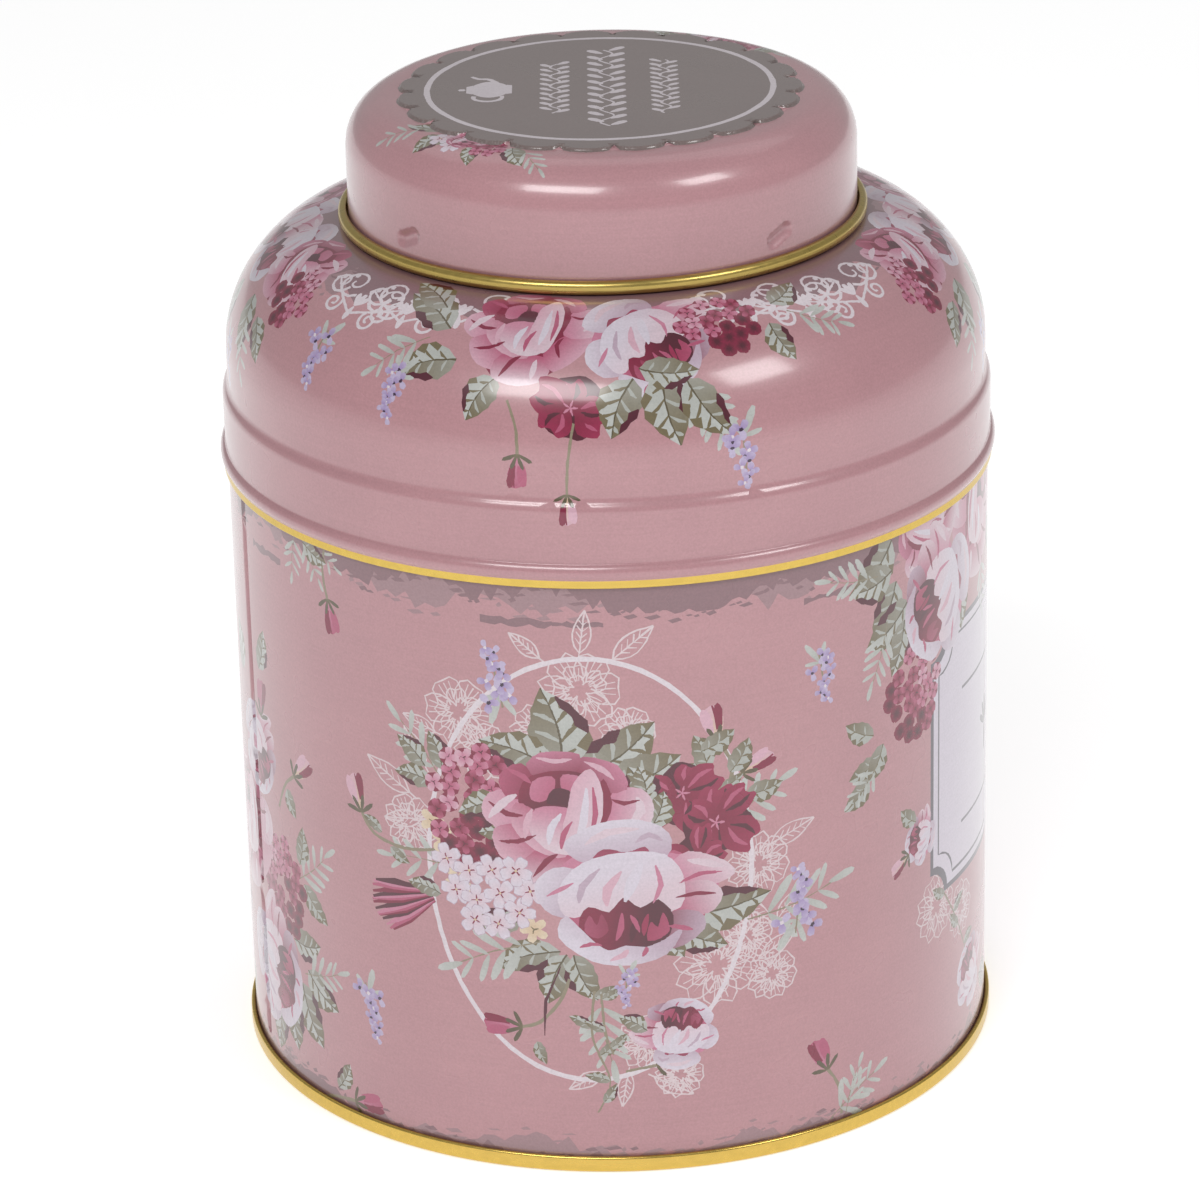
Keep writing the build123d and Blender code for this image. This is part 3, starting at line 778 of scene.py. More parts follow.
def bouquetPanel(art, place):
    # a tall column of flowers, seen round the left side
    for side in (-1, 1):
        here = spot(place, 0, 0, 0, 1, side)
        plant(art, here, leaf, ((35, 23, -120, 9, 6, 81), (33, 20, -150, 11, 7, 73), (30, 17, -175, 10, 6.5, 64),
                                (26, 13, 165, 9, 6, 52), (31, 27, -80, 8, 5.5, 85), (12, 66, 20, 9, 6, 144),
                                (8, 12, 150, 9, 6, 32), (22, 70, -20, 8, 4.5, 162)))
        plant(art, here, frond, ((33, 38, -50, 12, 4, 5), (34, 22, -70, 11, 4, 6)))
        plant(art, here, leaf, ((35, 38, -130, 8, 4, 19, False), (34, 41, -10, 7, 3.6, 20, False)))
        hydrangea(art, spot(here, 28, 35), 13, 16, 7, 28)
        plant(art, here, rose, ((12, 40, 0, 12, pinkRose, 15), (23, 20, 0, 11, whiteRose, 80),
                                (20, 56, 0, 8.0, whiteRose, 40)))
        bud(art, spot(here, 22, 62, -10), 6.5, rosy)
        bud(art, spot(here, 33.5, 56, -50), 6, stem=((0, -4), (2, -9)))
        leaf(art, spot(here, 31, 53, -150), 5, 3, 23, False, 2)
        lavender(art, spot(here, 49.5, 25, 195), 9, 6)
        bud(art, spot(here, 46, 4, -80), 6, rosy, ((0, -5), (1, -9)))
        leaf(art, spot(here, 42, 5, -30), 6, 3.4, 25)
        plant(art, here, frond, ((39, 98, -150, 8, 3, 39), (37, 98, 170, 8, 3, 37), (41, 98, -120, 7, 3, 41)))
        bud(art, spot(here, 44.5, 89, 190), 5.5, rosy, ((0, -5), (-2, -10)))
        leaf(art, spot(here, 39, 97, -110), 6, 3.5, 27)
    hydrangea(art, spot(place, 0, 24), 14, 13, 8, 30)
    lavender(art, spot(place, 0, 68), 9, 8)


def bodyArt():
    art, place = [], spot(flat, -seamU, 0)
    tornBand(art, place, 91.4, 98.5, 5, "mauvePale", 1.7)
    tornBand(art, place, 92.8, 98.5, 6, "mauve", 1.1)
    fill(art, place, [(seamU, 98.4), (seamU + wrap, 98.4), (seamU + wrap, 112), (seamU, 112)], "mauve")
    for u, size in ((-20, 1.0), (-9, 0.7), (30, 0.8), (96, 1.0), (-70, 0.9), (-130, 1.0), (150, 0.9)):
        rough = random.Random(int(u))
        strip = [(i * 1.1, rough.uniform(0.2, 0.9)) for i in range(11)]
        strip += [(i * 1.1, rough.uniform(-0.9, -0.2)) for i in range(10, -1, -1)]
        fill(art, spot(place, u, 91.6, 0, size), strip, "mauve")
    tornBand(art, place, 0.8, 6.6, 7, "mauvePale", 1.7, False)
    tornBand(art, place, 0.8, 4.8, 8, "mauve", 1.1, False)
    labelPanel(art, spot(place, 94.2, 0))
    bouquetPanel(art, spot(place, -92.5, 0))
    frontBouquet(art, place)
    frontBouquet(art, spot(place, wrap / 2, 0))
    return art


weldGap = 6e-6      # metres
cutGap = 1e-4       # millimetres, for the flat work


def weldSeams(points, near):
    # gives the points of one edge the index of their twins on the other edge
    tree, remap = KDTree(len(near)), np.arange(len(points))
    for i in near:
        tree.insert(points[i], i)
    tree.balance()
    for i in near:
        remap[i] = min(j for _, j, _ in tree.find_range(points[i], weldGap))
    return remap


def sides(tris, count):
    # every side of every triangle, as a key for its direction and one for the way back
    a, b = tris.ravel(), np.roll(tris, -1, axis=1).ravel()
    return a * count + b, b * count + a


def visibleOutlines(shapes, points):
    # lays the shapes over each other, and keeps the lines where the colour on top changes
    if not shapes:
        return [], np.zeros((0, 2), int), BVHTree.FromPolygons([], []), []
    verts, _, tris, _, _, over = delaunay_2d_cdt(points, [], shapes, 0, cutGap, True)
    lookup = BVHTree.FromPolygons([(v.x, v.y, 0) for v in verts], tris)
    tris = np.array(tris)
    top = np.array([max(o) if o else -1 for o in over])
    there, back = sides(tris, len(verts))
    order = np.argsort(there)
    at = np.clip(np.searchsorted(there[order], back), 0, len(order) - 1)
    twin = np.where(there[order][at] == back, order[at], -1)
    left = np.repeat(top, 3)
    right = np.where(twin >= 0, left[twin], -1)
    seen = (left != right) & ((there < back) | (twin < 0))
    ends = np.stack([there[seen] // len(verts), there[seen] % len(verts)], 1)
    snapped = np.round(np.array([tuple(v) for v in verts]) / finest).astype(int)[ends]   # what is too small goes
    used, compact = np.unique(snapped.reshape(-1, 2), axis=0, return_inverse=True)
    lines = np.unique(np.sort(compact.reshape(-1, 2), axis=1), axis=0)
    lines = lines[lines[:, 0] != lines[:, 1]]
    return [Vector(p) for p in (used * finest).tolist()], lines, lookup, top


def paintedPatches(art, low, high, lattice, border, isInside, copies=(0,)):
    # joins the lattice and the artwork's outlines into triangles, each coloured by the shape on top of it
    points, shapes, owner = [], [], []
    for n, shape in enumerate(art):
        us, vs = [p[0] for p in shape[0]], [p[1] for p in shape[0]]
        if max(vs) < low[1] or min(vs) > high[1]:
            continue
        for shift in copies:
            if max(us) + shift > low[0] and min(us) + shift < high[0]:
                first = len(points)
                points += [Vector((p[0] + shift, p[1])) for p in shape[0]]
                shapes.append(list(range(first, len(points))))
                owner.append((n, shift))
    points, lines, lookup, topOf = visibleOutlines(shapes, points)
    drawn = len(points)
    points += [Vector(p) for p in lattice]
    border = [(a + drawn, b + drawn) for a, b in border]
    for attempt in range(3):
        verts, edges, tris, _, wasEdge, _ = delaunay_2d_cdt(points, lines.tolist() + border, [], 0, cutGap, True)
        verts, tris = np.array([tuple(v) for v in verts]), np.array(tris)
        ends = [{round(v, 2): v for v in verts[abs(verts[:, 0] - u) < 1e-3, 1]} for u in (0, wrap)]
        odd = [(u, a[k]) for u, a, b in ((wrap, *ends), (0, *ends[::-1])) for k in a if k not in b]
        if not odd or len(copies) == 1:
            break
        points += [Vector(p) for p in odd]   # both ends of the sheet need the same points to meet
    middle = verts[tris].mean(1)
    keep = isInside(middle)
    tris, middle = tris[keep], middle[keep]
    # faces that no outline parts are one patch, and take the shape under the patch's largest face
    wall = set()
    for (a, b), was in zip(edges, wasEdge):
        if any(w < len(lines) for w in was):
            wall.update((a * len(verts) + b, b * len(verts) + a))
    there, back = sides(tris, len(verts))
    byKey = {k: i // 3 for i, k in enumerate(there.tolist())}
    there, back = there.reshape(-1, 3).tolist(), back.reshape(-1, 3).tolist()
    p, q = (verts[tris[:, k]] - verts[tris[:, 0]] for k in (1, 2))
    size = p[:, 0] * q[:, 1] - q[:, 0] * p[:, 1]
    top = np.full(len(tris), -2)
    for first in np.argsort(-size).tolist():
        if top[first] != -2:
            continue
        face = lookup.ray_cast((middle[first, 0], middle[first, 1], 1), (0, 0, -1))[2]
        value = topOf[face] if face is not None else -1
        top[first], queue = value, [first]
        while queue:
            face = queue.pop()
            for key, other in zip(there[face], back[face]):
                beside = byKey.get(other)
                if beside is not None and key not in wall and top[beside] == -2:
                    top[beside] = value
                    queue.append(beside)
    return verts, tris, middle, cornerInk(art, owner, top, verts[tris])


def cornerInk(art, owner, top, corners):
    # each shape's colour runs from its root to its tip; alpha marks the plain ground
    table = np.zeros((len(owner) + 1, 10))
    for i, (n, shift) in enumerate(owner):
        _, a, b, root, tip = art[n]
        table[i] = (*a, *b, root[0] + shift, root[1], tip[0] - root[0], tip[1] - root[1])
    table[-1] = (*ink["ground"], *ink["ground"], 0, 0, 1, 0)
    t = table[top][:, None, :]
    d = t[..., 8:10]
    part = ((corners - t[..., 6:8]) * d).sum(-1) / np.maximum((d * d).sum(-1), 1e-9)
    part = np.clip(part, 0, 1)[..., None]
    colour = t[..., 0:3] * (1 - part) + t[..., 3:6] * part
    ground = np.broadcast_to((top < 0)[:, None, None], part.shape).astype(float)
    return np.concatenate([colour, ground], -1)


def wrapOn(sheet, azimuth, dent=None):
    # takes a point of the flat sheet to its place on the turned one, with the normal there
    def place(uv, nudged):
        angle = uv[:, 0] / drum + math.radians(azimuth)
        p, q = sheet.along(uv[:, 1]), sheet.along(nudged[:, 1])
        c, s = np.cos(angle), np.sin(angle)
        r, z, nr, nz = p[:, 0], p[:, 1], q[:, 2], q[:, 3]
        if dent:
            o = dent(uv)
            du = (dent(uv + (0.05, 0)) - dent(uv - (0.05, 0))) / 0.1
            dv = (dent(uv + (0, 0.05)) - dent(uv - (0, 0.05))) / 0.1
            r, z = r + p[:, 2] * o, z + p[:, 3] * o
            n = np.stack([(nr + nz * dv) * c + du * s, (nr + nz * dv) * s - du * c, nz - nr * dv], 1)
        else:
            n = np.stack([nr * c, nr * s, nz], 1)
        return np.stack([r * c, r * s, z], 1) * mm, n / np.linalg.norm(n, axis=1)[:, None]
    return place


def grid(rows, columns, width):
    lattice = [(i * width / columns, v) for v in rows for i in range(columns + 1)]
    n = columns + 1
    corners = [(j * n + i, j * n + i + 1, (j + 1) * n + i + 1, (j + 1) * n + i) for j in range(len(rows) - 1)
               for i in range(columns)]
    return lattice, [(a, b, c) for a, b, c, d in corners] + [(a, c, d) for a, b, c, d in corners]


def surface(verts, tris, middle, colours, place, slotOf, onEdge):
    corners = verts[tris]
    nudged = corners + 0.02 * (middle[:, None, :] - corners)   # so that a cut edge keeps its own normal
    _, normals = place(corners.reshape(-1, 2), nudged.reshape(-1, 2))
    return {"points": place(verts, verts)[0], "tris": tris, "normals": normals.reshape(-1, 3, 3), "colours": colours,
            "slots": slotOf(middle), "edge": onEdge(verts)}


def joinSurfaces(name, parts):
    starts = np.cumsum([0] + [len(p["points"]) for p in parts])
    points = np.concatenate([p["points"] for p in parts])
    tris = np.concatenate([p["tris"] + k for p, k in zip(parts, starts)])
    normals, colours, slots, edge = (np.concatenate([p[k] for p in parts])
                                     for k in ("normals", "colours", "slots", "edge"))
    welded = weldSeams(points, np.nonzero(edge)[0])[tris]
    good = (welded[:, 0] != welded[:, 1]) & (welded[:, 1] != welded[:, 2]) & (welded[:, 2] != welded[:, 0])
    used, compact = np.unique(welded[good], return_inverse=True)
    me = bpy.data.meshes.new(name)
    me.from_pydata(points[used].tolist(), [], compact.reshape(-1, 3).tolist())
    me.polygons.foreach_set("use_smooth", np.ones(int(good.sum()), bool))
    me.polygons.foreach_set("material_index", slots[good].astype(int))
    me.color_attributes.new("ink", "FLOAT_COLOR", "CORNER").data.foreach_set("color", colours[good].ravel())
    me.normals_split_custom_set(normals[good].reshape(-1, 3).tolist())
    corners = np.zeros(len(me.loops), np.int32)
    me.loops.foreach_get("edge_index", corners)
    openEdges = (np.bincount(corners) != 2).sum()
    print(name, len(me.vertices), "points", len(me.polygons), "triangles", openEdges, "open edges")
    return addToScene(name, me)


def wrappedShell(name, sheet, art, columns, azimuth, step, printed, dent=None, extra=()):
    # one closed shell from a sheet's whole skin: print between two distances round it, gold lacquer elsewhere
    rows, n = sheet.rows(step, extra=printed), columns + 1
    lattice = [(i * wrap / columns, v) for v in rows for i in range(n)] + list(extra)
    border = [(k * n + i, k * n + i + 1) for k in (0, len(rows) - 1, *(rows.index(v) for v in printed))
              for i in range(columns)]
    for k in range(0, (len(rows) - 1) * n, n):
        border += [(k, k + n), (k + columns, k + n + columns)]

    def isInside(m):
        return (m[:, 0] > 0) & (m[:, 0] < wrap) & (m[:, 1] > 0) & (m[:, 1] < sheet.total)

    def slotOf(m):
        return np.where((m[:, 1] > printed[0]) & (m[:, 1] < printed[1]), 0, 1)

    patches = paintedPatches(art, (0, 0), (wrap, sheet.total), lattice, border, isInside, (0, wrap, -wrap))
    return joinSurfaces(name, [surface(*patches, wrapOn(sheet, azimuth, dent), slotOf,
                                       lambda p: frameEdge(p, 0, sheet.total))])


def frameEdge(p, low, high, near=1e-3):
    # which points lie on the rim of the flat sheet
    return (p[:, 0] < near) | (p[:, 0] > wrap - near) | (p[:, 1] < low + near) | (p[:, 1] > high - near)


def smooth(t):
    t = np.clip(t, 0, 1)
    return t * t * (3 - 2 * t)


ringPoints = {"body": 144, "dome": 144, "cap": 200}   # how many points go round each piece
bodySeam = {"grooveWidth": 1.1, "grooveDepth": 0.62, "lockWidth": 4.9, "lockHeight": 0.84, "foot": 4.5, "head": 107.0}


def makeBody():
    sheet = bodySheet()
    foot, s = sheet.outer["foot"], bodySeam
    z0 = gauge * 1.5 + 0.03 + ply
    innerFoot = sheet.inner["foot"]

    def dent(uv):   # the locked seam: a groove outside, and the folded lock standing in inside
        back = wrap - uv[:, 0]
        outside = uv[:, 1] < sheet.outer["curl"] + 1
        z = np.where(outside, uv[:, 1] - foot, innerFoot - uv[:, 1]) + z0
        here = smooth((z - s["foot"]) / 0.5) * smooth((s["head"] - z) / 0.5)
        w = s["grooveWidth"]
        groove = -s["grooveDepth"] * smooth(back / w) * smooth((w + 0.45 - back) / 0.4)
        lock = s["lockHeight"] * smooth(back / w) * smooth((s["lockWidth"] - back) / 0.4)
        return np.where(outside, groove, lock) * here * (back < 6) * (back > -0.01)

    rows = sheet.rows(4.0)
    near = [wrap - d for d in (0.28, 0.55, 0.83, 1.1, 1.22, 1.35, 1.5, 4.5, 4.7, 4.9)]
    extra = [(u, v) for u in near for v in rows]
    for v in (foot - z0 + s["foot"], foot - z0 + s["head"], innerFoot + z0 - s["foot"], innerFoot + z0 - s["head"]):
        extra += [(u, v + d) for u in near for d in (-0.5, -0.25, 0.0, 0.25, 0.5)]
    art, up = [], foot - z0
    for points, a, b, root, tip in bodyArt():
        art.append(([(u, v + up) for u, v in points], a, b, (root[0], root[1] + up), (tip[0], tip[1] + up)))
    print("body artwork drawn,", len(art), "shapes")
    return wrappedShell("bodyWall", sheet, art, ringPoints["body"], bodySizes["seamAzimuth"], 4.0,
                        (foot, sheet.outer["curl"]), dent, extra)


def domeArt(sheet):
    art = []
    foot, bend = sheet.outer["shoulder"], domeSizes["shoulderBend"] + gauge / 2
    centre = domeSizes["wall"] - bend

    def about(azimuth, side):   # real millimetres round a point of the shoulder, which narrows upwards
        u0 = math.radians(azimuth) * drum - seamU

        def place(x, y):
            r = centre + bend * math.cos(min(max(y, 0) / bend, 1.5))
            return u0 + side * x * drum / r, foot + y
        return place

    def around(turn, side, rows):
        for draw, azimuth, y, lean, *rest in rows:
            draw(art, spot(about(turn + side * azimuth, side), 0, y, lean), *rest)

    sheetAt = spot(flat, -seamU, foot)
    tornBand(art, sheetAt, 19.5, 29.5, 15, "mauvePale", 2.6)
    tornBand(art, sheetAt, 20.8, 29.5, 16, "mauve", 1.6)
    fill(art, sheetAt, [(seamU, 29.4), (seamU + wrap, 29.4), (seamU + wrap, 60), (seamU, 60)], "mauve")
    patch = [(17, 29.6), (19, 25), (25, 22.6), (31, 24.4), (37, 21.4), (43, 22.6), (49, 20.4), (55, 23), (58, 29.6)]
    for turn in (0, 180):
        for side in (-1, 1):
            fill(art, sheetAt, [(math.radians(turn + side * a) * drum, y) for a, y in patch], "mauve")
            around(turn, side, (
                (lace, 27, 24.4, -8, 10.5), (lace, 37, 22.6, 0, 10.5), (lace, 48, 21.6, 8, 10.5),
                # roses at the sides, high on the shoulder
                (rose, 84, 21.5, 0, 8.5, whiteRose, 20), (rose, 70, 21, 0, 8.2, pinkRose, -20),
                (hydrangea, 64, 17, 0, 10, 9, 8, 16), (leaf, 76, 13, 160, 10, 6, 21), (leaf, 86, 12, -165, 10, 6, 22),
                (leaf, 70, 11, 140, 8, 4.5, 23), (frond, 74, 10, 160, 10, 3, 24), (lavender, 80, 4, 176, 8, 25)))
        around(turn, 1, (
            (leaf, -27, 20, 60, 11, 6.5, -7), (leaf, -24, 15, 110, 9.5, 6, -9), (leaf, -30, 24, 60, 9, 5.5, -6),
            (leaf, 31, 23, -60, 7, 4.5, 54), (leaf, 28.5, 19.5, -165, 7, 4.5, 48), (leaf, -17, 13, 150, 8, 5, -4),
            (frond, 33, 21, -120, 10, 4, 31), (frond, -30, 18, 130, 11, 4, 32), (frond, 12.5, 12, -150, 12, 4, 33),
            (rose, -12.8, 21, 0, 9.6, pinkRose, 8), (blossom, -5.4, 8.8, 0, 6.0, 5),
            (rose, 7.5, 19.8, 0, 10.0, whiteRose, 30), (hydrangea, 19.5, 21, 0, 11.5, 10, 9, 20),
            (leaf, 4, 13, 158, 9.5, 6.5, 41), (leaf, 8.5, 14, -170, 11.5, 7, 73), (leaf, 12, 12.5, -145, 11, 6, 96),
            (leaf, 5, 14.5, -95, 9, 5, 49), (lavender, 19.5, 4, 184, 9.0, 34), (lavender, -33, 12, 172, 8.0, 35),
            (lavender, -50, 14, 176, 8.5, 36), (bud, -13, 1.5, 176, 5.2, rosy, ((0.6, -4), (2.4, -8))),
            (bud, -6, -4.5, 182, 4.6, pale, ((-0.4, -5), (-1.5, -11)))))
    return art


def makeDome():
    sheet = domeSheet()
    return wrappedShell("shoulderDome", sheet, domeArt(sheet), ringPoints["dome"], bodySizes["seamAzimuth"], 2.2,
                        (sheet.outer["band"], sheet.inner["neck"] - 22.0))


def capArt():
    art, s = [], capSizes
    step = 2 * math.pi / s["scallops"]
    angles = [math.radians(s["scallopAzimuth"]) + step * i / 10 for i in range(10 * s["scallops"])]
    # sprigs that grow out from under the badge
    for azimuth, flip in ((-128, 1), (52, -1)):
        a = math.radians(azimuth)
        here = spot(flat, 29.5 * math.cos(a), 29.5 * math.sin(a), azimuth - 90, 1, flip)
        plant(art, here, leaf, ((-7, 1, 50, 6, 3.8, 2), (4, 2, -35, 6.5, 4, 13), (7, 0, -75, 6, 3.6, 16),
                                (-2, 3, 15, 5, 3, 7)))
        plant(art, here, frond, ((9, 1, -60, 8, 3, 3), (-9, 1, 60, 7, 3, 4)))
        hydrangea(art, spot(here, -3, 3), 7, 4.6, 3, 9)
        phlox(art, here, ((2, 4.4), (5, 3.2)), 2.0, 6)
        rose(art, spot(here, 1, 1.5), 3.4, pinkRose, 0)
    fill(art, flat, [(badgeEdge(a) * math.cos(a), badgeEdge(a) * math.sin(a)) for a in angles], "badge")
    ribbon(art, flat, ellipse(turns(97, True), 26.7), 0.95, "white")
    up = spot(flat, 0, 0, 90)   # the badge reads from the right-hand side
    pot = spot(up, 0, 17.0, 0, 0.62)
    for points in (ellipse(turns(28), 6.6, 4.9), [(-3.4, -5.6), (3.4, -5.6), (3.9, -4.2), (-3.9, -4.2)],
                   [(-3.6, 4.2), (3.6, 4.2), (2.6, 5.9), (-2.6, 5.9)], ellipse(turns(10), 0.9, 0.9, 0, 6.9)):
        fill(art, pot, points, "white")
    ribbon(art, pot, curve([(5.6, -1.6), (8.6, 0.2), (9.4, 3.0), (11.2, 4.6)], 5), 1.7, "white", 0.45)
    ribbon(art, pot, arc(-6.6, 0.4, 3.3, 70, 290, 12, 1.1), 1.1, "white")
    for y, size, reach in ((7.0, 1.0, 13.0), (-1.0, 1.3, 20.0), (-10.0, 0.95, 14.0)):   # three running vines
        row = spot(up, 0, y)
        stem = [(x, 0.8 * size * math.sin(x * 1.25 / size)) for x in np.arange(-reach, reach + 0.1, 0.5)]
        ribbon(art, row, stem, 0.36, "white")
        last = int(reach / (1.257 * size))
        for k in range(-last, last + 1):
            x, side = k * 2.513 * size / 2, 1 if k % 2 else -1
            leafAt = spot(row, x, 0.35 * side * size, (-40 if side > 0 else -140))
            fill(art, leafAt, petal(2.5 * size, 1.25 * size, 10), "white")
    return art


def badgeEdge(angle):
    # radius of the scalloped outline at this angle
    s = capSizes
    step = 2 * math.pi / s["scallops"]
    t = ((np.asarray(angle) - math.radians(s["scallopAzimuth"])) / step) % 1.0
    return s["badge"] - s["scallopDepth"] * (1 - np.sqrt(np.clip(1 - (2 * t - 1) ** 2, 0, 1)) ** 0.9)


def makeCap():
    sheet, s = capSheet(), capSizes
    reach = sheet.total - sheet.inner["rim"] - 0.3   # how far the print runs from the middle of the top
    wallRadius = s["wall"]
    dimpleAt = reach + 0.3 - (s["dimpleHeight"] - s["foot"] - gauge / 2 - s["curl"])

    def dent(distance, angle, inset=0.0):
        rise = s["rise"] * smooth((badgeEdge(angle) - inset - distance) / 0.5)
        drop = np.zeros(len(distance))
        c, q = math.cos(math.radians(s["dimpleSlant"])), math.sin(math.radians(s["dimpleSlant"]))
        half = s["dimpleLength"] / 2 - s["dimpleRound"]
        for i in range(s["dimples"]):
            turn = angle - math.radians(s["dimpleAzimuth"] + 90 * i)
            x = wallRadius * ((turn + math.pi) % (2 * math.pi) - math.pi)
            y = dimpleAt - distance
            along = np.clip(x * c + y * q, -half, half)
            gap = np.hypot(x - along * c, y - along * q)
            drop += s["dimpleDepth"] * np.clip(1 - (gap / 1.5) ** 2, 0, 1) ** 1.6
        return rise - drop

    def pressed(under):
        # the skin over the disc of distance and angle, with the badge and the dimples pressed in
        def at(p):
            distance, angle = np.hypot(p[:, 0], p[:, 1]), np.arctan2(p[:, 1], p[:, 0])
            q = sheet.along(distance if under else sheet.total - distance)
            o = -dent(distance, angle, 0.45) if under else dent(distance, angle)
            r, z = np.maximum(q[:, 0] + q[:, 2] * o, 0), q[:, 1] + q[:, 3] * o
            return np.stack([r * np.cos(angle), r * np.sin(angle), z], 1)

        def place(points, nudged):
            n = np.cross(*(at(points + d) - at(points - d) for d in ((0.03, 0), (0, 0.03))))
            return at(points) * mm, n / np.linalg.norm(n, axis=1)[:, None] * (-1 if under else 1)
        return place

    columns = ringPoints["cap"]

    def ringAt(distance, count):
        return ellipse([2 * math.pi * i / count for i in range(count)], distance)

    shared = [(0.0, 0.0)]
    for distance in [2.5 * i for i in range(1, 12)] + [28.6, *np.arange(33.0, 52.5, 1.3)]:
        shared += ringAt(distance, columns if distance > 24 else max(10, int(distance * 7)))
    for i in range(10 * s["scallops"]):
        a = math.radians(s["scallopAzimuth"]) + 2 * math.pi * i / (10 * s["scallops"])
        for d in (0.05, -0.12, -0.25, -0.38, -0.5, -0.7, -0.95):   # rings down the badge's pressed edge
            shared.append(((badgeEdge(a) + d) * math.cos(a), (badgeEdge(a) + d) * math.sin(a)))
    for i in range(s["dimples"]):
        a = math.radians(s["dimpleAzimuth"] + 90 * i)
        for x in np.arange(-4.2, 4.3, 0.35):
            for y in np.arange(-2.4, 3.1, 0.35):
                turn, distance = a + x / wallRadius, dimpleAt - y
                shared.append((distance * math.cos(turn), distance * math.sin(turn)))

    def disc(reach, art, place, slot, flip):
        lattice = shared + ringAt(reach, columns)
        first = len(lattice) - columns
        border = [(first + i, first + (i + 1) % columns) for i in range(columns)]
        verts, tris, middle, colours = paintedPatches(art, (-reach, -reach), (reach, reach), lattice, border,
                                                      lambda m: np.hypot(m[:, 0], m[:, 1]) < reach)
        if flip:
            tris, colours = tris[:, ::-1], colours[:, ::-1]
        return surface(verts, tris, middle, colours, place, lambda m: np.full(len(m), slot),
                       lambda p: np.hypot(p[:, 0], p[:, 1]) > reach - 1e-3)

    low, high = sheet.outer["rim"] - 0.3, sheet.total - reach
    top = disc(reach, capArt(), pressed(False), 0, False)
    under = disc(low, [], pressed(True), 1, True)
    lattice, tris = grid(sheet.rows(1.0, low, high, 12), columns, wrap)
    verts, tris = np.array(lattice), np.array(tris)
    rim = surface(verts, tris, verts[tris].mean(1), np.tile((*ink["ground"], 0.0), (len(tris), 3, 1)),
                  wrapOn(sheet, 0.0), lambda m: np.ones(len(m)), lambda p: frameEdge(p, low, high))
    return joinSurfaces("capLid", [top, under, rim])


def latheTree(material):
    # sweeps a cut section round the upright axis
    tree = bpy.data.node_groups.new("spinSection", "GeometryNodeTree")
    face = tree.interface
    face.new_socket("Geometry", in_out="INPUT", socket_type="NodeSocketGeometry")
    face.new_socket("Path Radius", in_out="INPUT", socket_type="NodeSocketFloat")
    face.new_socket("Segments", in_out="INPUT", socket_type="NodeSocketInt")
    face.new_socket("Geometry", in_out="OUTPUT", socket_type="NodeSocketGeometry")
    given = addNode(tree, "NodeGroupInput")
    section = addNode(tree, "GeometryNodeMeshToCurve", links={"Mesh": given.outputs["Geometry"]})
    path = addNode(tree, "GeometryNodeCurvePrimitiveCircle",
                   links={"Resolution": given.outputs["Segments"], "Radius": given.outputs["Path Radius"]})
    level = addNode(tree, "GeometryNodeSetCurveNormal", {"mode": "Z_UP"}, {"Curve": path.outputs["Curve"]})
    swept = addNode(tree, "GeometryNodeCurveToMesh",
                    links={"Curve": level.outputs["Curve"], "Profile Curve": section.outputs["Curve"]})
    merged = addNode(tree, "GeometryNodeMergeByDistance", values={"Distance": 2e-6},
                     links={"Geometry": swept.outputs["Mesh"]})
    even = addNode(tree, "GeometryNodeSetShadeSmooth", links={"Geometry": merged.outputs["Geometry"]})
    real = addNode(tree, "GeometryNodeRealizeInstances", links={"Geometry": even.outputs["Geometry"]})
    done = addNode(tree, "GeometryNodeSetMaterial", values={"Material": material},
                   links={"Geometry": real.outputs["Geometry"]})
    addNode(tree, "NodeGroupOutput", links={"Geometry": done.outputs["Geometry"]})
    return tree


def makeBase(material):
    sheet = baseSheet()
    rows = sheet.rows(3.0, degrees=15)
    section = sheet.along(np.clip(rows, 0, sheet.total - 1e-6))
    radius = baseSizes["sweepRadius"]
    me = bpy.data.meshes.new("baseSection")
    # a section's x runs outwards from the path and its y down
    me.from_pydata([((r - radius) * mm, -z * mm, 0) for r, z, _, _ in section.tolist()],
                   [(i, i + 1) for i in range(len(rows) - 1)], [])
    draft = addToScene("baseDraft", me)
    tree = latheTree(material)
    modifier = draft.modifiers.new("spin", "NODES")
    modifier.node_group = tree
    sockets = {i.name: i.identifier for i in tree.interface.items_tree if i.in_out == "INPUT"}
    modifier[sockets["Path Radius"]] = radius * mm
    modifier[sockets["Segments"]] = baseSizes["segments"]
    draft.update_tag()
    graph = bpy.context.evaluated_depsgraph_get()
    made = bpy.data.meshes.new_from_object(draft.evaluated_get(graph))
    made.name = "baseEnd"
    draft.modifiers.clear()
    bpy.data.objects.remove(draft)
    print("baseEnd", len(made.vertices), "points", len(made.polygons), "faces")
    return addToScene("baseEnd", made)


def newMaterial(name):
    mat = bpy.data.materials.new(name)
    mat.use_nodes = True
    return mat, mat.node_tree, mat.node_tree.nodes["Principled BSDF"]


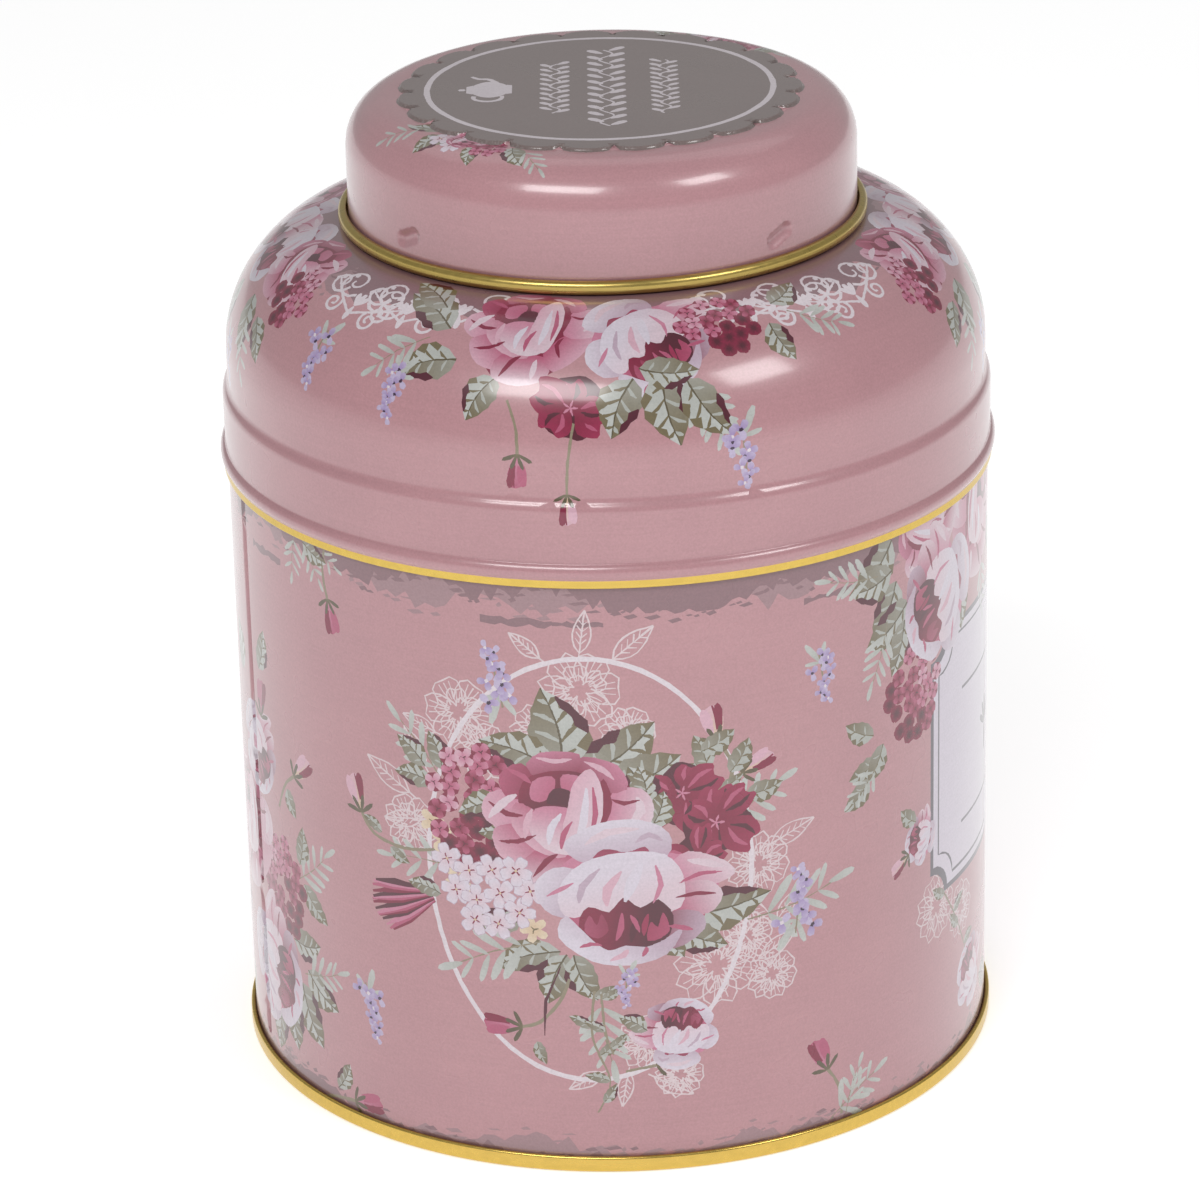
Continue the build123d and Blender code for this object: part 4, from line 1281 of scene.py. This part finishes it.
def printedTinplate(name):
    # offset-printed tinplate, stoved and varnished: flat inks, a faint grain of dots, and a soft satin shine
    mat, tree, shader = newMaterial(name)
    where = addNode(tree, "ShaderNodeTexCoord").outputs["Object"]
    inked = addNode(tree, "ShaderNodeAttribute", {"attribute_name": "ink"})
    grain = addNode(tree, "ShaderNodeTexNoise", values={"Scale": 1 / (0.35 * mm), "Detail": 2.0, "Roughness": 0.6},
                    links={"Vector": where})
    cloud = addNode(tree, "ShaderNodeTexNoise", values={"Scale": 1 / (16 * mm), "Detail": 3.0, "Roughness": 0.55},
                    links={"Vector": where})
    rolled = addNode(tree, "ShaderNodeMapping", values={"Scale": (60, 60, 2600)}, links={"Vector": where})
    streak = addNode(tree, "ShaderNodeTexNoise", values={"Scale": 1.0, "Detail": 2.0, "Roughness": 0.7},
                     links={"Vector": rolled.outputs[0]})
    # the grain of the screen, and the quarter of the light that thin inks over bare metal swallow
    fine = addNode(tree, "ShaderNodeMapRange", links={"Value": grain.outputs["Fac"]},
                   values={"From Min": 0.3, "From Max": 0.7, "To Min": 0.67, "To Max": 0.77})
    lines = addNode(tree, "ShaderNodeMapRange", links={"Value": streak.outputs["Fac"]},
                    values={"From Min": 0.3, "From Max": 0.7, "To Min": 0.975, "To Max": 1.025})
    both = addNode(tree, "ShaderNodeMath", {"operation": "MULTIPLY"}, {0: fine.outputs[0], 1: lines.outputs[0]})
    # the ground drifts a little between a warm and a cool pink
    drift = addNode(tree, "ShaderNodeMapRange", links={"Value": cloud.outputs["Fac"]},
                    values={"From Min": 0.15, "From Max": 0.85, "To Min": 0.0, "To Max": 0.6})
    share = addNode(tree, "ShaderNodeMath", {"operation": "MULTIPLY"},
                    {0: drift.outputs[0], 1: inked.outputs["Alpha"]})
    ground = addNode(tree, "ShaderNodeMix", {"data_type": "RGBA"},
                     {"Factor": share.outputs[0], 6: inked.outputs["Color"]}, {7: (*ink["groundDeep"], 1)})
    shade = addNode(tree, "ShaderNodeVectorMath", {"operation": "SCALE"},
                    {0: ground.outputs[2], "Scale": both.outputs[0]})
    tree.links.new(shade.outputs[0], shader.inputs["Base Color"])
    gloss = addNode(tree, "ShaderNodeMapRange", links={"Value": cloud.outputs["Fac"]},
                    values={"From Min": 0.1, "From Max": 0.9, "To Min": 0.24, "To Max": 0.33})
    tree.links.new(gloss.outputs[0], shader.inputs["Roughness"])
    peel = addNode(tree, "ShaderNodeBump", values={"Strength": 0.10, "Distance": 0.02 * mm},
                   links={"Height": grain.outputs["Fac"]})
    tree.links.new(peel.outputs[0], shader.inputs["Normal"])
    shader.inputs["IOR"].default_value = 1.5
    shader.inputs["Coat Weight"].default_value = 0.8
    shader.inputs["Coat Roughness"].default_value = 0.13
    return mat


def goldLacquer(name, colour, rough):
    # tinplate under a transparent yellow lacquer: it shines like brass, with the sheet's rolling lines in it
    mat, tree, shader = newMaterial(name)
    where = addNode(tree, "ShaderNodeTexCoord").outputs["Object"]
    rolled = addNode(tree, "ShaderNodeMapping", values={"Scale": (90, 1800, 900)}, links={"Vector": where})
    lines = addNode(tree, "ShaderNodeTexNoise", values={"Scale": 1.0, "Detail": 3.0, "Roughness": 0.6},
                    links={"Vector": rolled.outputs[0]})
    tint = addNode(tree, "ShaderNodeMapRange", links={"Value": lines.outputs["Fac"]},
                   values={"From Min": 0.3, "From Max": 0.7, "To Min": 0.92, "To Max": 1.05})
    shade = addNode(tree, "ShaderNodeVectorMath", {"operation": "SCALE"}, {"Scale": tint.outputs[0]},
                    {0: linear(colour)})
    tree.links.new(shade.outputs[0], shader.inputs["Base Color"])
    gloss = addNode(tree, "ShaderNodeMapRange", links={"Value": lines.outputs["Fac"]},
                    values={"From Min": 0.3, "From Max": 0.7, "To Min": rough - 0.04, "To Max": rough + 0.05})
    tree.links.new(gloss.outputs[0], shader.inputs["Roughness"])
    shader.inputs["Metallic"].default_value = 1.0
    return mat


tin = printedTinplate("printedTinplate")
brightGold = goldLacquer("brightGoldLacquer", "#D3B45E", 0.24)
dullGold = goldLacquer("rimGoldLacquer", "#C2AA62", 0.30)

body = makeBody()
for finish in (tin, brightGold):
    body.data.materials.append(finish)
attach(body, "body")
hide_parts("body_wall")
print("body made")

dome = makeDome()
for finish in (tin, brightGold):
    dome.data.materials.append(finish)
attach(dome, "dome")
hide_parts("shoulder_dome")
print("dome made")

cap = makeCap()
for finish in (tin, dullGold):
    cap.data.materials.append(finish)
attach(cap, "cap")
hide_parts("cap_lid")
print("cap made")

base = makeBase(brightGold)
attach(base, "body")
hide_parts("base_end")
print("base made")


# brightness of the room and of the glowing table, and each soft box: place, aim, width, height, power
studio = {"room": 0.36, "table": 0.46, "sweep": "#F7F7F7",
          "boxes": {"leftBox": ((-0.26, -0.70, 0.82), (0, 0, 0.1), 0.54, 0.26, 4.0),
                    "rightBox": ((0.62, -0.46, 0.82), (0, 0, 0.1), 0.34, 0.26, 2.3),
                    "backBox": ((0, 1.1, 1.9), (0, 0.8, 0), 2.8, 1.0, 4.0)}}   # this one keeps the floor behind white


def makeFloor():
    me = bpy.data.meshes.new("floor")
    me.from_pydata([(-3, -3, -0.0001), (3, -3, -0.0001), (3, 3, -0.0001), (-3, 3, -0.0001)], [], [(0, 1, 2, 3)])
    mat, _, shader = newMaterial("paleSweep")
    shader.inputs["Base Color"].default_value = (*linear(studio["sweep"]), 1)
    shader.inputs["Roughness"].default_value = 0.7
    shader.inputs["Emission Color"].default_value = (1, 1, 1, 1)   # a light table: the sweep glows a little
    shader.inputs["Emission Strength"].default_value = studio["table"]
    me.materials.append(mat)
    addToScene("floor", me)


def softBox(name, place, aim, width, height, power):
    light = bpy.data.lights.new(name, "AREA")
    light.shape, light.size, light.size_y, light.energy = "RECTANGLE", width, height, power
    lamp = addToScene(name, light)
    lamp.location = place
    lamp.rotation_euler = (Vector(aim) - Vector(place)).to_track_quat("-Z", "Y").to_euler()


def makeLights():
    world = bpy.data.worlds.new("studio")
    world.use_nodes = True
    world.node_tree.nodes["Background"].inputs["Color"].default_value = (1, 1, 1, 1)
    world.node_tree.nodes["Background"].inputs["Strength"].default_value = studio["room"]
    bpy.context.scene.world = world
    for name, box in studio["boxes"].items():
        softBox(name, *box)


view = {"from": (0.0, -0.7731, 0.3907), "at": (0.0, 0.0, 0.0707), "roll": 1.278, "lens": 156.6,
        "shiftX": -0.00958, "shiftY": 0.0}


def makeCamera():
    data = bpy.data.cameras.new("camera")
    data.lens, data.sensor_width = view["lens"], 36
    data.shift_x, data.shift_y = view["shiftX"], view["shiftY"]
    data.clip_start, data.clip_end = 0.05, 20
    camera = addToScene("camera", data)
    aim = (Vector(view["at"]) - Vector(view["from"])).to_track_quat("-Z", "Y").to_matrix()
    roll = Matrix.Rotation(-math.radians(view["roll"]), 3, "Z")
    camera.matrix_world = Matrix.Translation(view["from"]) @ (aim @ roll).to_4x4()
    bpy.context.scene.camera = camera


makeFloor()
makeLights()
makeCamera()
bpy.context.scene.view_settings.view_transform = "Standard"   # print colours stay as printed
